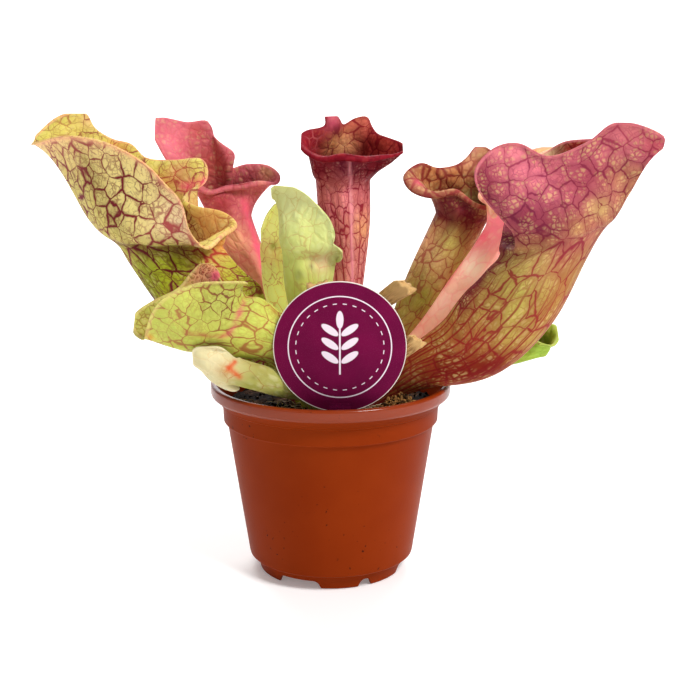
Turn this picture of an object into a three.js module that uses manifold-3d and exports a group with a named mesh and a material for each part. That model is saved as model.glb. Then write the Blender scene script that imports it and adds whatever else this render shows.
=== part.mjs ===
// A pitcher plant in a 12 cm nursery pot: eleven hollow pitcher leaves and three dried leaf
// bases grow out of a buried rhizome, and a round tag on a stake stands in front of them.
// Millimetres, +Z up. The origin is on the floor, under the middle of the pot, and -Y is the front.
import * as THREE from 'three';
import { mergeVertices } from 'three/addons/utils/BufferGeometryUtils.js';
import Module from 'manifold-3d';

const wasm = await Module();
wasm.setup();

// ---- driving dimensions ----
const CLEARANCE = 0.3;          // between a stem and its hole, and round the soil

const POT = {
  sides: 48,
  height: 97,
  rimRadius: 60,
  rimMouth: 56.5,               // inner radius of the rim
  beadHeight: 5.5,
  bandTop: 86,                  // the band under the rim, from bandFoot up to here
  bandFoot: 77.5,
  bandRadius: 54.2,
  wallTop: 52.2,                // outer radius of the tapered wall, just under the band
  wallFoot: 41.7,               // and just above the ledge
  ledge: 9,                     // height of the wall's lower end
  skirtTop: 38,
  skirtFoot: 36.4,
  wall: 1.5,
  skirtWall: 1.6,
  floor: 4,                     // height of the floor's underside, and of the arches
  floorThickness: 1.6,
  archSlope: 1.6,               // how far an arch's end leans in
};
// the gaps between the feet, in degrees from the front towards +X: [start, end]
const ARCHES = [[-44, -7], [22, 34], [64, 94], [136, 173], [202, 214], [244, 274]];
const DRAIN = { radius: 3.5, ring: 22, count: 6 };

const SOIL = { level: 87, bump: 0.7, edgeDrop: 1.6, sides: 32, rings: 6 };
const RHIZOME = { centre: [0, -1, 77], radii: [25, 23, 11.5], lump: 0.06, sides: 16 };
const TAG = {
  centre: [5, -46, 124], radius: 31, thickness: 1,
  stakeWidth: 10, stakeFoot: 62, stakePoint: 8, stakeRoot: 4,
};

const WALL = 0.9;               // thickness of a pitcher's wall
const HOLLOW_FROM = 0.3;        // the share of a pitcher's tube that is solid stem
const LEVEL_FROM = 0.5;         // the share where its sections start turning towards the mouth
const RIDGE_SPREAD = 16;        // how wide the ridge down its front is, in degrees

// ---- colours and finishes ----
const FINISH = {
  pot: { color: 0xb5501f, roughness: 0.45 },
  soil: { color: 0x2a211b, roughness: 0.95 },
  rhizome: { color: 0x5a3a22, roughness: 0.9 },
  dryStub: { color: 0xbf9a52, roughness: 0.8 },
  tag: { color: 0x6e1842, roughness: 0.4 },
};

function material({ color, roughness }) {
  return new THREE.MeshStandardMaterial({ color, roughness, metalness: 0 });
}

// ---- solids ----
function toSolid(geometry) {
  const bare = geometry.clone();
  bare.deleteAttribute('normal');
  bare.deleteAttribute('uv');
  const merged = mergeVertices(bare, 1e-4);
  return new wasm.Manifold(new wasm.Mesh({
    numProp: 3,
    vertProperties: new Float32Array(merged.attributes.position.array),
    triVerts: new Uint32Array(merged.index.array),
  }));
}

function toGeometry(solid) {
  const mesh = solid.getMesh();
  const geometry = new THREE.BufferGeometry();
  geometry.setAttribute('position', new THREE.BufferAttribute(mesh.vertProperties, 3));
  geometry.setIndex(new THREE.BufferAttribute(mesh.triVerts, 1));
  geometry.computeVertexNormals();
  return geometry;
}

function fromTriangles(points, triangles) {
  const geometry = new THREE.BufferGeometry();
  const flat = points.flatMap((point) => [point.x, point.y, point.z]);
  geometry.setAttribute('position', new THREE.Float32BufferAttribute(flat, 3));
  geometry.setIndex(triangles);
  geometry.computeVertexNormals();
  return geometry;
}

// Six times the volume inside closed triangles, negative when they face inwards.
function signedVolume(points, triangles) {
  let sum = 0;
  for (let k = 0; k < triangles.length; k += 3) {
    const [a, b, c] = triangles.slice(k, k + 3).map((index) => points[index]);
    sum += a.dot(b.clone().cross(c));
  }
  return sum;
}

// A closed skin over rings of points, with a fan at each end.
function skin(rings) {
  const points = rings.flat();
  const count = rings[0].length;
  const triangles = [];
  for (let row = 0; row + 1 < rings.length; row++) {
    for (let j = 0; j < count; j++) {
      const next = (j + 1) % count;
      const [a, b] = [row * count + j, row * count + next];
      triangles.push(a, b, b + count, a, b + count, a + count);
    }
  }
  const middle = (ring) => ring.reduce((sum, p) => sum.add(p), new THREE.Vector3())
    .divideScalar(count);
  const last = (rings.length - 1) * count;
  points.push(middle(rings[0]), middle(rings.at(-1)));
  for (let j = 0; j < count; j++) {
    const next = (j + 1) % count;
    triangles.push(points.length - 2, next, j);
    triangles.push(points.length - 1, last + j, last + next);
  }
  if (signedVolume(points, triangles) < 0) triangles.reverse();
  return fromTriangles(points, triangles);
}

const flatShape = (corners) => new THREE.Shape(corners.map(([x, y]) => new THREE.Vector2(x, y)));

// ---- pot ----
const radians = THREE.MathUtils.degToRad;

function potWall() {
  const p = POT;
  const inner = (radius) => radius - p.wall;
  const floorTop = p.floor + p.floorThickness;
  const beadFoot = p.height - p.beadHeight;
  const inside = p.skirtFoot - p.skirtWall;
  const outline = [
    [0, p.floor], [inside, p.floor], [inside - 0.2, 0], [p.skirtFoot, 0],
    [p.skirtTop, p.ledge - 2], [p.wallFoot - 0.7, p.ledge - 1.5], [p.wallFoot, p.ledge],
    [p.wallTop, p.bandFoot - 0.5], [p.bandRadius - 0.6, p.bandFoot],
    [p.bandRadius, p.bandTop], [p.bandRadius + 0.6, p.bandTop + 0.5],
    [p.rimRadius - 0.8, beadFoot], [p.rimRadius, beadFoot + 1], [p.rimRadius, p.height - 1],
    [p.rimRadius - 0.9, p.height], [p.rimMouth + 0.7, p.height], [p.rimMouth, p.height - 1],
    [inner(p.bandRadius), p.bandTop + 1], [inner(p.bandRadius - 0.6), p.bandFoot],
    [inner(p.wallTop), p.bandFoot - 2], [inner(p.wallFoot) + 0.2, p.ledge + 1.5],
    [p.skirtTop - 1, p.ledge - 0.2], [p.skirtTop - 3.5, floorTop], [0, floorTop],
  ];
  const turned = new THREE.LatheGeometry(outline.map(([r, z]) => new THREE.Vector2(r, z)), p.sides);
  return toSolid(turned.rotateX(Math.PI / 2));
}

// One arch between two feet: a block with sloping ends that cuts through the skirt.
function arch([start, end]) {
  const half = POT.skirtFoot * Math.sin(radians((end - start) / 2));
  const [below, slope] = [-1, POT.archSlope];
  const outline = flatShape([[-half, below], [half, below], [half - slope, POT.floor],
    [slope - half, POT.floor]]);
  const block = new THREE.ExtrudeGeometry(outline, { depth: 14, bevelEnabled: false });
  block.rotateX(Math.PI / 2).translate(0, -30, 0);
  return toSolid(block.rotateZ(radians((start + end) / 2)));
}

function drainHole(index) {
  const hole = new THREE.CylinderGeometry(DRAIN.radius, DRAIN.radius, 12, 20).rotateX(Math.PI / 2);
  const angle = (index / DRAIN.count) * 2 * Math.PI;
  const reach = index < DRAIN.count ? DRAIN.ring : 0;
  return toSolid(hole.translate(reach * Math.cos(angle), reach * Math.sin(angle), POT.floor));
}

function pot() {
  let solid = potWall();
  for (const gap of ARCHES) solid = solid.subtract(arch(gap));
  for (let k = 0; k <= DRAIN.count; k++) solid = solid.subtract(drainHole(k));
  return toGeometry(solid);
}

// ---- pitcher leaves ----
// A smooth curve through keys that stand at rising places, read at the place `where`.
// With a period the curve closes on itself, and without one it stops at its end keys.
function curveThrough(keys, places, where, period) {
  const count = keys.length;
  const at = (index) => {
    if (!period) {
      const inside = Math.min(Math.max(index, 0), count - 1);
      return [places[inside], keys[inside]];
    }
    const turns = Math.floor(index / count);
    return [places[index - turns * count] + turns * period, keys[index - turns * count]];
  };
  const last = period ? count : count - 2;
  let index = period ? -1 : 0;
  while (index < last && at(index + 1)[0] <= where) index++;
  const [[t0, a], [t1, b], [t2, c], [t3, d]] = [-1, 0, 1, 2].map((step) => at(index + step));
  const width = t2 - t1;
  const share = Math.min(Math.max((where - t1) / width, 0), 1);
  return b.map((_, axis) => {
    const startSlope = ((c[axis] - a[axis]) / (t2 - t0)) * width;
    const endSlope = ((d[axis] - b[axis]) / (t3 - t1)) * width;
    return hermite(b[axis], startSlope, c[axis], endSlope, share);
  });
}

function hermite(start, startSlope, end, endSlope, s) {
  const s2 = s * s;
  const s3 = s2 * s;
  return (2 * s3 - 3 * s2 + 1) * start + (s3 - 2 * s2 + s) * startSlope
    + (3 * s2 - 2 * s3) * end + (s3 - s2) * endSlope;
}

const vector = (values) => new THREE.Vector3(values[0], values[1], values[2]);

// The leaf's section at a share of the way from its foot (0) to its throat (1): the centre,
// the ways square to it, to its front and to its side, and its two radii.
function section(leaf, share) {
  const { spine, front, mouth, turn } = leaf;
  const places = spine.map((_, k) => k / (spine.length - 1));
  const at = (place) => curveThrough(spine, places, place);
  const here = at(share);
  const [before, after] = [Math.max(share - 0.02, 0), Math.min(share + 0.02, 1)];
  const along = vector(at(after)).sub(vector(at(before))).normalize();
  const level = THREE.MathUtils.smoothstep(share, LEVEL_FROM, 1);
  const normal = along.lerp(vector(mouth).normalize(), level).normalize();
  const ahead = vector(front).projectOnPlane(normal).normalize();
  const side = normal.clone().cross(ahead).multiplyScalar(turn);
  return { centre: vector(here), normal, ahead, side, wide: here[3], deep: here[4], share };
}

// A point of the leaf's tube, at an angle in degrees from its front.
function tubePoint(leaf, cut, angle) {
  const fromFront = ((angle + 180) % 360) - 180;
  const ridge = leaf.ridge * cut.share * Math.exp(-((fromFront / RIDGE_SPREAD) ** 2));
  return cut.centre.clone()
    .addScaledVector(cut.ahead, cut.deep * Math.cos(radians(angle)) + ridge)
    .addScaledVector(cut.side, cut.wide * Math.sin(radians(angle)));
}

// The end of the hood at an angle: the point of the leaf's edge, and the way it is reached.
function edgePoint(leaf, throat, angle) {
  const angles = leaf.edge.map((key) => key[0]);
  const [, x, y, z, rise] = curveThrough(leaf.edge, angles, angle, 360);
  const end = new THREE.Vector3(x, y, z);
  const out = end.clone().sub(throat.centre).setZ(0).normalize();
  const arrive = out.multiplyScalar(Math.cos(radians(rise))).setZ(Math.sin(radians(rise)));
  return [end, arrive];
}

// A point of the hood, which leaves the throat along the tube, flares and ends at the edge.
function hoodPoint(leaf, throat, below, angle, share) {
  const start = tubePoint(leaf, throat, angle);
  const radial = start.clone().sub(throat.centre).normalize();
  const leave = start.clone().sub(tubePoint(leaf, below, angle)).normalize()
    .addScaledVector(radial, leaf.flare).normalize();
  const [end, arrive] = edgePoint(leaf, throat, angle);
  const reach = end.distanceTo(start);
  const along = (axis) => hermite(start[axis], leave[axis] * reach, end[axis],
    arrive[axis] * reach, share);
  return new THREE.Vector3(along('x'), along('y'), along('z'));
}

// All rings of a leaf's outer face, from its foot to its edge.
function leafRings(leaf) {
  const rings = [];
  const angles = Array.from({ length: leaf.sides }, (_, j) => (j / leaf.sides) * 360);
  for (let row = 0; row <= leaf.tubeRows; row++) {
    const cut = section(leaf, row / leaf.tubeRows);
    rings.push(angles.map((angle) => tubePoint(leaf, cut, angle)));
  }
  const [throat, below] = [section(leaf, 1), section(leaf, 0.97)];
  for (let row = 1; row <= leaf.hoodRows; row++) {
    const share = row / leaf.hoodRows;
    rings.push(angles.map((angle) => hoodPoint(leaf, throat, below, angle, share)));
  }
  return rings;
}

// The way out of the leaf at each point of its rings.
function ringNormals(rings, turn) {
  const count = rings[0].length;
  return rings.map((ring, row) => ring.map((_, j) => {
    const around = ring[(j + 1) % count].clone().sub(ring[(j + count - 1) % count]);
    const [lower, upper] = [rings[Math.max(row - 1, 0)], rings[Math.min(row + 1, rings.length - 1)]];
    const up = upper[j].clone().sub(lower[j]);
    return around.cross(up).multiplyScalar(turn).normalize();
  }));
}

// A pitcher: a thin shell, open at its mouth, on a solid stem.
function pitcher(leaf) {
  const rings = leafRings(leaf);
  const normals = ringNormals(rings, leaf.turn);
  const bottom = Math.round(leaf.tubeRows * HOLLOW_FROM);
  const inside = [];
  for (let row = rings.length - 1; row >= bottom; row--) {
    inside.push(rings[row].map((p, j) => p.clone().addScaledVector(normals[row][j], -WALL)));
  }
  return skin([...rings, ...inside]);
}

// A plain round-sided tube along a stretch of a leaf, `grow` wider than its stem all round.
function stemTube(leaf, reach, rows, sides, grow) {
  const rings = [];
  for (let row = 0; row <= rows; row++) {
    const cut = section(leaf, (row / rows) * reach);
    const wider = { ...cut, wide: cut.wide + grow, deep: cut.deep + grow };
    if (row === 0) wider.centre.addScaledVector(cut.normal, -grow);
    rings.push(Array.from({ length: sides }, (_, j) => tubePoint(leaf, wider, (j / sides) * 360)));
  }
  return skin(rings);
}

// The hole that a leaf's stem stands in.
const socket = (leaf) => toSolid(stemTube(leaf, leaf.socketShare, 4, 10, CLEARANCE));

const LARGE = { sides: 20, tubeRows: 9, hoodRows: 6 };
const MIDDLE = { sides: 16, tubeRows: 8, hoodRows: 5 };
const SMALL = { sides: 14, tubeRows: 7, hoodRows: 4 };
const CLOCKWISE = -1;           // which way a leaf's angles run from its front, seen from above
const ANTICLOCKWISE = 1;

// Each leaf: its spine from foot to throat as [x, y, z, radius sideways, radius to the front],
// and its edge as [angle from the front, x, y, z, the slope in degrees that the rim ends at].

const LEAVES = {
  pitcher_left_large: {
    ...LARGE, color: 0xb9b24a, ridge: 8, flare: 1, turn: CLOCKWISE, socketShare: 0.4,
    front: [1, -0.2, 0], mouth: [0.05, 0, 1],
    spine: [[-14, -3, 80, 3, 3], [-20, -3, 97, 5, 5], [-37, -1, 115, 11.5, 12],
      [-61, 2, 137, 19, 22], [-84, 5, 166, 20, 24]],
    edge: [[0, -46, 2, 175, -50], [14, -52, -6, 171, -40], [36, -59, -24, 167, 10],
      [50, -66, -30, 176, 40], [62, -69, -31, 189, 60], [76, -76, -30, 197, 60],
      [98, -86, -28, 207, 60], [118, -102, -22, 215, 60], [138, -119, -12, 218, 60],
      [150, -132, -1, 217, 45], [162, -150, 26, 212, 20], [180, -147, 37, 218, 35],
      [198, -138, 40, 225, 60], [214, -126, 41, 227, 60], [228, -121, 40, 219, 55],
      [244, -111, 39, 213, 50], [256, -102, 38, 211, 50], [268, -95, 37, 204, 40],
      [284, -79, 34, 203, 25], [296, -65, 31, 204, 0], [306, -63, 27, 194, -30],
      [316, -71, 21, 188, -50], [326, -73, 15, 185, -10], [338, -65, 10, 182, -20],
      [350, -53, 6, 180, -35]],
  },
  pitcher_right_large: {
    ...LARGE, color: 0x9c4a55, ridge: 3, flare: 0.9, turn: ANTICLOCKWISE, socketShare: 0.4,
    front: [-1, 0, 0], mouth: [-0.3, 0, 1],
    spine: [[14, -8, 80, 3, 3], [28, -10, 94, 6, 6], [46, -13, 107, 12, 11.5],
      [70, -16, 119, 17, 18.8], [88, -18, 138, 19, 21], [100, -20, 159, 19, 22],
      [108, -21, 172, 19, 25]],
    edge: [[0, 87, -8, 174, -20], [20, 92, -27, 170, -10], [36, 78, -37, 185, 30],
      [50, 69, -42, 196, 50], [66, 67, -45, 206, 60], [84, 75, -44, 215, 65],
      [102, 86, -43, 217, 65], [122, 100, -42, 211, 65], [142, 118, -42, 218, 60],
      [156, 128, -42, 226, 55], [165, 137, -43, 226, 45], [173, 146, -44, 223, 40],
      [179, 151, -44, 220, 30], [185, 153, -42, 216, 30], [191, 151, -38, 215, 40],
      [203, 140, -24, 220, 45], [218, 127, -12, 217, 60], [240, 113, -4, 215, 60],
      [262, 104, 1, 209, 55], [290, 93, 1, 203, 40], [320, 85, -1, 192, 0],
      [342, 83, -3, 183, -30]],
  },
  pitcher_left_low: {
    ...MIDDLE, color: 0x9aae45, ridge: 1, flare: 0.5, turn: CLOCKWISE, socketShare: 0.4,
    front: [1, 0, 0.4], mouth: [-0.75, 0, 0.65],
    spine: [[-10, -12, 80, 2.8, 2.8], [-14, -20, 100, 4, 4], [-24, -32, 122, 8.5, 11],
      [-38, -38, 131, 12.5, 15.5], [-50, -41, 134, 14, 16.5]],
    edge: [[0, -40, -38, 152, 20], [24, -39, -50, 155, 40], [44, -48, -56, 156, 55],
      [66, -58, -59, 156, 60], [84, -67, -60, 153, 60], [102, -75, -59, 148, 60],
      [120, -80, -56, 141, 60], [136, -83, -52, 133, 50], [152, -85, -47, 128, 20],
      [168, -90, -41, 129, 20], [182, -92, -36, 132, 30], [198, -91, -31, 137, 40],
      [216, -83, -27, 142, 50], [236, -72, -23, 147, 60], [256, -66, -20, 154, 50],
      [280, -60, -19, 159, 30], [306, -54, -21, 156, 10], [332, -51, -28, 151, 0]],
  },
  pitcher_left_rim: {
    ...SMALL, color: 0xc9c79b, ridge: 0.5, flare: 0.4, turn: CLOCKWISE, socketShare: 0.5,
    front: [1, 0, 0.6], mouth: [-1, 0, 0.35],
    spine: [[-3, -17, 80, 2.6, 2.6], [-11, -27, 96, 4, 4], [-22, -38.5, 104, 5.6, 6.4],
      [-33, -45, 109, 6, 6.3], [-43, -49, 113, 6, 6.2]],
    edge: [[0, -45, -45, 117, -10], [30, -47, -54, 124, 20], [60, -54, -57, 127, 40],
      [88, -60, -58, 126, 50], [112, -62, -57, 123, 50], [134, -62, -55, 118, 40],
      [154, -58, -52, 114, 20], [172, -55, -49, 109, 20], [188, -50, -47, 105, 10],
      [202, -45, -46, 103, 0], [222, -42, -44, 104, 0], [250, -47, -38, 107, 10],
      [286, -55, -35, 110, 10], [324, -50, -39, 115, 0]],
  },
  pitcher_back_left: {
    ...MIDDLE, color: 0xb3566a, ridge: 3, flare: 0.4, turn: ANTICLOCKWISE, socketShare: 0.3,
    front: [0.3, -1, 0], mouth: [0.1, -0.3, 1],
    spine: [[-8, 12, 80, 2.8, 2.8], [-16, 17, 103, 3.6, 3.6], [-28, 22, 124, 4.5, 4.5],
      [-37, 32, 142, 7, 6], [-47, 41, 159, 10.5, 9.5], [-53, 47, 174, 11, 11]],
    edge: [[0, -54, 37, 189, -40], [26, -45, 36, 190, -50], [50, -36, 38, 192, -10],
      [72, -29, 43, 191, 30], [90, -28, 47, 195, 40], [108, -34, 51, 199, 45],
      [132, -45, 56, 199, 45], [152, -53, 58, 197, 45], [168, -51, 53, 205, 45],
      [184, -58, 50, 211, 50], [194, -63, 52, 217, 50], [202, -64, 53, 222, 45],
      [216, -74, 52, 221, 50], [232, -83, 49, 223, 50], [248, -90, 43, 224, 45],
      [262, -91, 39, 218, 35], [278, -87, 37, 210, 15], [296, -82, 36, 202, -10],
      [320, -72, 36, 192, -30], [342, -63, 36, 187, -40]],
  },
  pitcher_middle_green: {
    ...MIDDLE, color: 0xb9c874, ridge: 2, flare: 0.35, turn: CLOCKWISE, socketShare: 0.3,
    front: [1, 0, 0], mouth: [0.3, 0, 1],
    spine: [[-4, -6, 80, 2.8, 2.8], [-7, -10, 104, 4, 4], [-10, -14, 125, 6, 7],
      [-11, -17, 145, 10, 10.5], [-11, -18, 162, 11, 12.3]],
    edge: [[0, 3, -17, 160, -30], [20, 6, -27, 166, -30], [40, 2, -32, 171, 20],
      [58, 3, -35, 175, 50], [76, 0, -34, 182, 70], [94, -5, -31, 187, 75],
      [114, -12, -27, 193, 75], [138, -20, -21, 196, 70], [160, -26, -16, 195, 60],
      [180, -28, -12, 191, 45], [204, -25, -7, 187, 40], [236, -19, -3, 184, 40],
      [270, -13, -2, 177, 30], [302, -6, -4, 169, 10], [332, -1, -9, 164, -20]],
  },
  pitcher_middle_small: {
    ...SMALL, color: 0xa9b85e, ridge: 0.5, flare: 0.4, turn: CLOCKWISE, socketShare: 0.3,
    front: [1, 0, 0], mouth: [0.2, 0, 1],
    spine: [[-10, 5, 79, 2.6, 2.6], [-14, 8, 103, 3.2, 3.2], [-22, 8, 121, 4, 4],
      [-27, 6, 140, 6, 6], [-28, 2, 158, 6, 6.5]],
    edge: [[0, -24, -4, 162, -50], [40, -22, -8, 166, -20], [70, -22, -9, 174, 40],
      [100, -22, -9, 181, 60], [130, -25, -6, 186, 60], [165, -29, -1, 182, 40],
      [200, -32, 2, 176, 40], [232, -34, 4, 169, 20], [262, -32, 4, 163, -20],
      [310, -29, 2, 162, -50]],
  },
  pitcher_back_middle: {
    ...LARGE, color: 0x7c2033, ridge: 2, flare: 0.65, turn: ANTICLOCKWISE, socketShare: 0.3,
    front: [0, -1, 0], mouth: [0, -0.2, 1],
    spine: [[2, 14, 80, 2.8, 2.8], [6, 15, 104, 4.2, 4.2], [8, 16, 124, 6, 6],
      [8, 24, 149, 9.5, 9], [7, 31, 172, 13, 12], [6, 35, 194, 14, 13]],
    edge: [[0, 7, 10, 207, -50], [30, 18, 13, 206, -35], [50, 26, 17, 207, 0],
      [66, 32, 22, 207, 45], [80, 37, 26, 209, 60], [96, 35, 31, 212, 50],
      [112, 29, 37, 214, 40], [128, 23, 43, 216, 45], [142, 20, 48, 220, 50],
      [156, 18, 49, 224, 50], [172, 12, 50, 223, 55], [186, 6, 47, 220, 55],
      [198, 3, 42, 225, 45], [210, -2, 38, 226, 40], [224, -3, 38, 220, 45],
      [242, -12, 34, 218, 35], [260, -15, 28, 215, 25], [280, -14, 22, 211, 15],
      [300, -10, 17, 208, -10], [322, -4, 13, 206, -40]],
  },
  pitcher_back_right: {
    ...LARGE, color: 0x9c7a4a, ridge: 3, flare: 0.4, turn: ANTICLOCKWISE, socketShare: 0.3,
    front: [-0.3, -1, 0], mouth: [0, -0.3, 1],
    spine: [[10, 12, 80, 2.8, 2.8], [19, 13, 102, 4, 4], [33, 14, 117, 6, 6],
      [46, 24, 137, 10, 10], [58, 34, 156, 13, 13], [68, 41, 175, 14, 13]],
    edge: [[0, 63, 27, 188, -50], [36, 73, 24, 182, -50], [64, 81, 26, 181, -30],
      [96, 86, 32, 191, 10], [126, 85, 41, 202, 40], [152, 82, 49, 207, 50],
      [172, 76, 52, 209, 50], [188, 71, 52, 203, 50], [204, 65, 50, 199, 50],
      [226, 55, 46, 198, 40], [250, 46, 40, 201, 20], [272, 38, 34, 196, -10],
      [296, 41, 28, 190, -40], [326, 51, 26, 187, -50]],
  },
  pitcher_right_pink: {
    ...MIDDLE, color: 0xd07a6c, ridge: 1, flare: 0.3, turn: ANTICLOCKWISE, socketShare: 0.4,
    front: [-1, -0.4, 0], mouth: [-0.2, 0, 1],
    spine: [[14, 6, 80, 2.8, 2.8], [27, 7, 99, 3.6, 3.6], [47, 9, 119, 5, 5],
      [62, 13, 136, 7, 7], [75, 17, 154, 8, 8], [87, 21, 173, 9, 9]],
    edge: [[0, 78, 9, 185, -50], [36, 81, 7, 179, -40], [70, 90, 9, 191, 20],
      [106, 102, 13, 207, 50], [140, 112, 19, 210, 50], [176, 118, 27, 209, 50],
      [212, 112, 33, 210, 50], [246, 101, 33, 208, 50], [280, 88, 27, 200, 30],
      [310, 78, 19, 192, -10], [336, 74, 13, 188, -40]],
  },
  pitcher_right_low: {
    ...SMALL, color: 0x8fbf35, ridge: 0.5, flare: 0.3, turn: ANTICLOCKWISE, socketShare: 0.4,
    front: [-0.6, 0, 1], mouth: [1, 0, 0.8],
    spine: [[18, -1, 79, 2.6, 2.6], [37, 5, 96, 3.2, 3.2], [60, 8, 106, 4.2, 4.2],
      [86, 9, 107, 5.5, 5.5], [103, 9, 112, 6.5, 6.5]],
    edge: [[0, 101, 4, 117, -20], [50, 105, -4, 116, 10], [96, 110, -3, 115, 30],
      [140, 113, 1, 117, 30], [184, 114, 6, 120, 30], [230, 112, 10, 123, 30],
      [276, 107, 12, 121, 10], [322, 103, 9, 119, -20]],
  },
};

// ---- dried leaf bases: a spine each ----
const STUBS = {
  stub_left: [[1, -12, 82, 2.2, 2.2], [-1, -26, 116, 3, 3], [-5, -33, 140, 4.2, 3.6],
    [-6, -35, 153, 5, 3.4]],
  stub_middle: [[6, -4, 82, 2.2, 2.2], [12, -8, 112, 2.6, 2.6], [20, -14, 134, 3.4, 3],
    [38, -22, 150, 5, 3.6]],
  stub_right: [[9, -15, 82, 2.2, 2.2], [20, -25, 104, 2.6, 2.6], [34, -32, 118, 3.2, 3],
    [43, -34, 126, 4.4, 3.2]],
};

function stubLeaf(spine) {
  return { spine, front: [0, -1, 0], mouth: [0.2, 0, 1], turn: 1, ridge: 0, socketShare: 0.35 };
}

// ---- rhizome, soil and tag ----
function lumpy(radii) {
  const ball = new THREE.SphereGeometry(1, RHIZOME.sides, 10);
  const place = ball.attributes.position;
  const at = new THREE.Vector3();
  for (let k = 0; k < place.count; k++) {
    at.fromBufferAttribute(place, k);
    const lump = Math.sin(4 * at.x + 1) * Math.cos(5 * at.y) * (1 - at.z * at.z);
    const wave = 1 + RHIZOME.lump * lump;
    place.setXYZ(k, at.x * radii[0] * wave, at.y * radii[1] * wave, at.z * radii[2]);
  }
  return toSolid(ball.translate(...RHIZOME.centre));
}

function rhizome(sockets) {
  return toGeometry(lumpy(RHIZOME.radii).subtract(sockets));
}

// The soil's surface: level, with low lumps.
function soilHeight(x, y) {
  const lumps = Math.sin(x * 0.33 + 1.2) * Math.cos(y * 0.29) + 0.6 * Math.sin(x * 0.71 - y * 0.63);
  return SOIL.level + SOIL.bump * lumps;
}

function soilBody() {
  const gap = CLEARANCE + 0.05;
  const p = POT;
  const floorTop = p.floor + p.floorThickness;
  const side = [
    [p.skirtTop - 3.5 - gap, floorTop + gap], [p.skirtTop - 1 - gap, p.ledge - 0.2 + gap],
    [p.wallFoot - p.wall + 0.2 - gap, p.ledge + 1.5 + gap],
    [p.wallTop - p.wall - gap, p.bandFoot - 2 - gap],
    [p.bandRadius - 0.6 - p.wall - gap, p.bandFoot + gap],
  ];
  const circle = (radius, height) => Array.from({ length: SOIL.sides }, (_, j) => {
    const angle = (j / SOIL.sides) * 2 * Math.PI;
    const [x, y] = [radius * Math.cos(angle), radius * Math.sin(angle)];
    return new THREE.Vector3(x, y, height ?? soilHeight(x, y));
  });
  const rings = [circle(12, floorTop + gap), ...side.map(([r, z]) => circle(r, z))];
  const edge = p.bandRadius - p.wall - gap;
  rings.push(circle(edge, SOIL.level - SOIL.edgeDrop));
  for (let ring = SOIL.rings; ring > 0; ring--) {
    rings.push(circle((edge - SOIL.edgeDrop) * (ring / SOIL.rings)));
  }
  return toSolid(skin(rings));
}

function stakeShape(grow) {
  const half = TAG.stakeWidth / 2 + grow;
  const foot = TAG.stakeFoot - grow - TAG.centre[2];
  const shoulder = TAG.stakeRoot - TAG.radius;
  return flatShape([[-half, shoulder], [-half, foot + TAG.stakePoint], [0, foot],
    [half, foot + TAG.stakePoint], [half, shoulder]]);
}

function plate(shape, thickness) {
  const options = { depth: thickness, bevelEnabled: false, curveSegments: 28 };
  const flat = new THREE.ExtrudeGeometry(shape, options).rotateX(Math.PI / 2);
  const [x, y, z] = TAG.centre;
  return toSolid(flat.translate(x, y + thickness / 2, z));
}

function tag() {
  const disc = new THREE.Shape().absarc(0, 0, TAG.radius, 0, 2 * Math.PI);
  return toGeometry(plate(disc, TAG.thickness).add(plate(stakeShape(0), TAG.thickness)));
}

function soil(sockets) {
  const radii = RHIZOME.radii.map((radius) => radius + CLEARANCE + 0.1);
  const slot = plate(stakeShape(CLEARANCE), TAG.thickness + 2 * CLEARANCE);
  return toGeometry(soilBody().subtract(lumpy(radii)).subtract(sockets).subtract(slot));
}

// ---- the plant, piece by piece ----
function mesh(name, geometry, finish) {
  const piece = new THREE.Mesh(geometry, material(finish));
  piece.name = name;
  return piece;
}

const stems = [...Object.values(LEAVES), ...Object.values(STUBS).map(stubLeaf)];
const sockets = stems.map(socket).reduce((all, one) => all.add(one));

const plant = new THREE.Group();
plant.add(mesh('pot', pot(), FINISH.pot));
plant.add(mesh('soil', soil(sockets), FINISH.soil));
plant.add(mesh('rhizome', rhizome(sockets), FINISH.rhizome));
for (const [name, leaf] of Object.entries(LEAVES)) {
  plant.add(mesh(name, pitcher(leaf), { color: leaf.color, roughness: 0.5 }));
}
for (const [name, spine] of Object.entries(STUBS)) {
  plant.add(mesh(name, stemTube(stubLeaf(spine), 1, 9, 10, 0), FINISH.dryStub));
}
plant.add(mesh('tag', tag(), FINISH.tag));

export default plant;
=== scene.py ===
"""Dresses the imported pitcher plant: pot, soil, crown, pitcher leaves, dried leaf bases and tag.

Lengths in the plant's own data are millimetres, as on a drawing, and MM turns them into the
scene's metres. The origin is on the floor under the middle of the pot, and -Y is the front.
"""
import logging
import math
from dataclasses import dataclass
from enum import Enum
from typing import Any, Callable, Iterator, Sequence

import bmesh
import bpy
import numpy as np
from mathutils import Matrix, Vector


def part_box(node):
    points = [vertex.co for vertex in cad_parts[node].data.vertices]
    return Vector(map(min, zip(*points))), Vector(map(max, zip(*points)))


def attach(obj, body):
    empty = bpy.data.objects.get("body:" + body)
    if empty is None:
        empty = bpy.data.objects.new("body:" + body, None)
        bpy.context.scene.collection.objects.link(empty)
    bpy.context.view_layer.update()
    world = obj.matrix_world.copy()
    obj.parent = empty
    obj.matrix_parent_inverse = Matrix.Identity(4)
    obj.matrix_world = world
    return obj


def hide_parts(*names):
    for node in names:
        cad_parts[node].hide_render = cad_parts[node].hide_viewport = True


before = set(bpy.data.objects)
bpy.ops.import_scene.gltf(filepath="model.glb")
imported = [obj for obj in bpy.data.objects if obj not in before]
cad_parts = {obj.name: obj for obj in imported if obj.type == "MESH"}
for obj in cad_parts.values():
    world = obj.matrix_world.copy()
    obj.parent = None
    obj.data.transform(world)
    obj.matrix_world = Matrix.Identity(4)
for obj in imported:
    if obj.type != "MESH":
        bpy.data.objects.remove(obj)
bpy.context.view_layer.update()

MM = 0.001
BODY = "root"
SEED = 7
CELL_RANDOMNESS = 0.72
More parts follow.
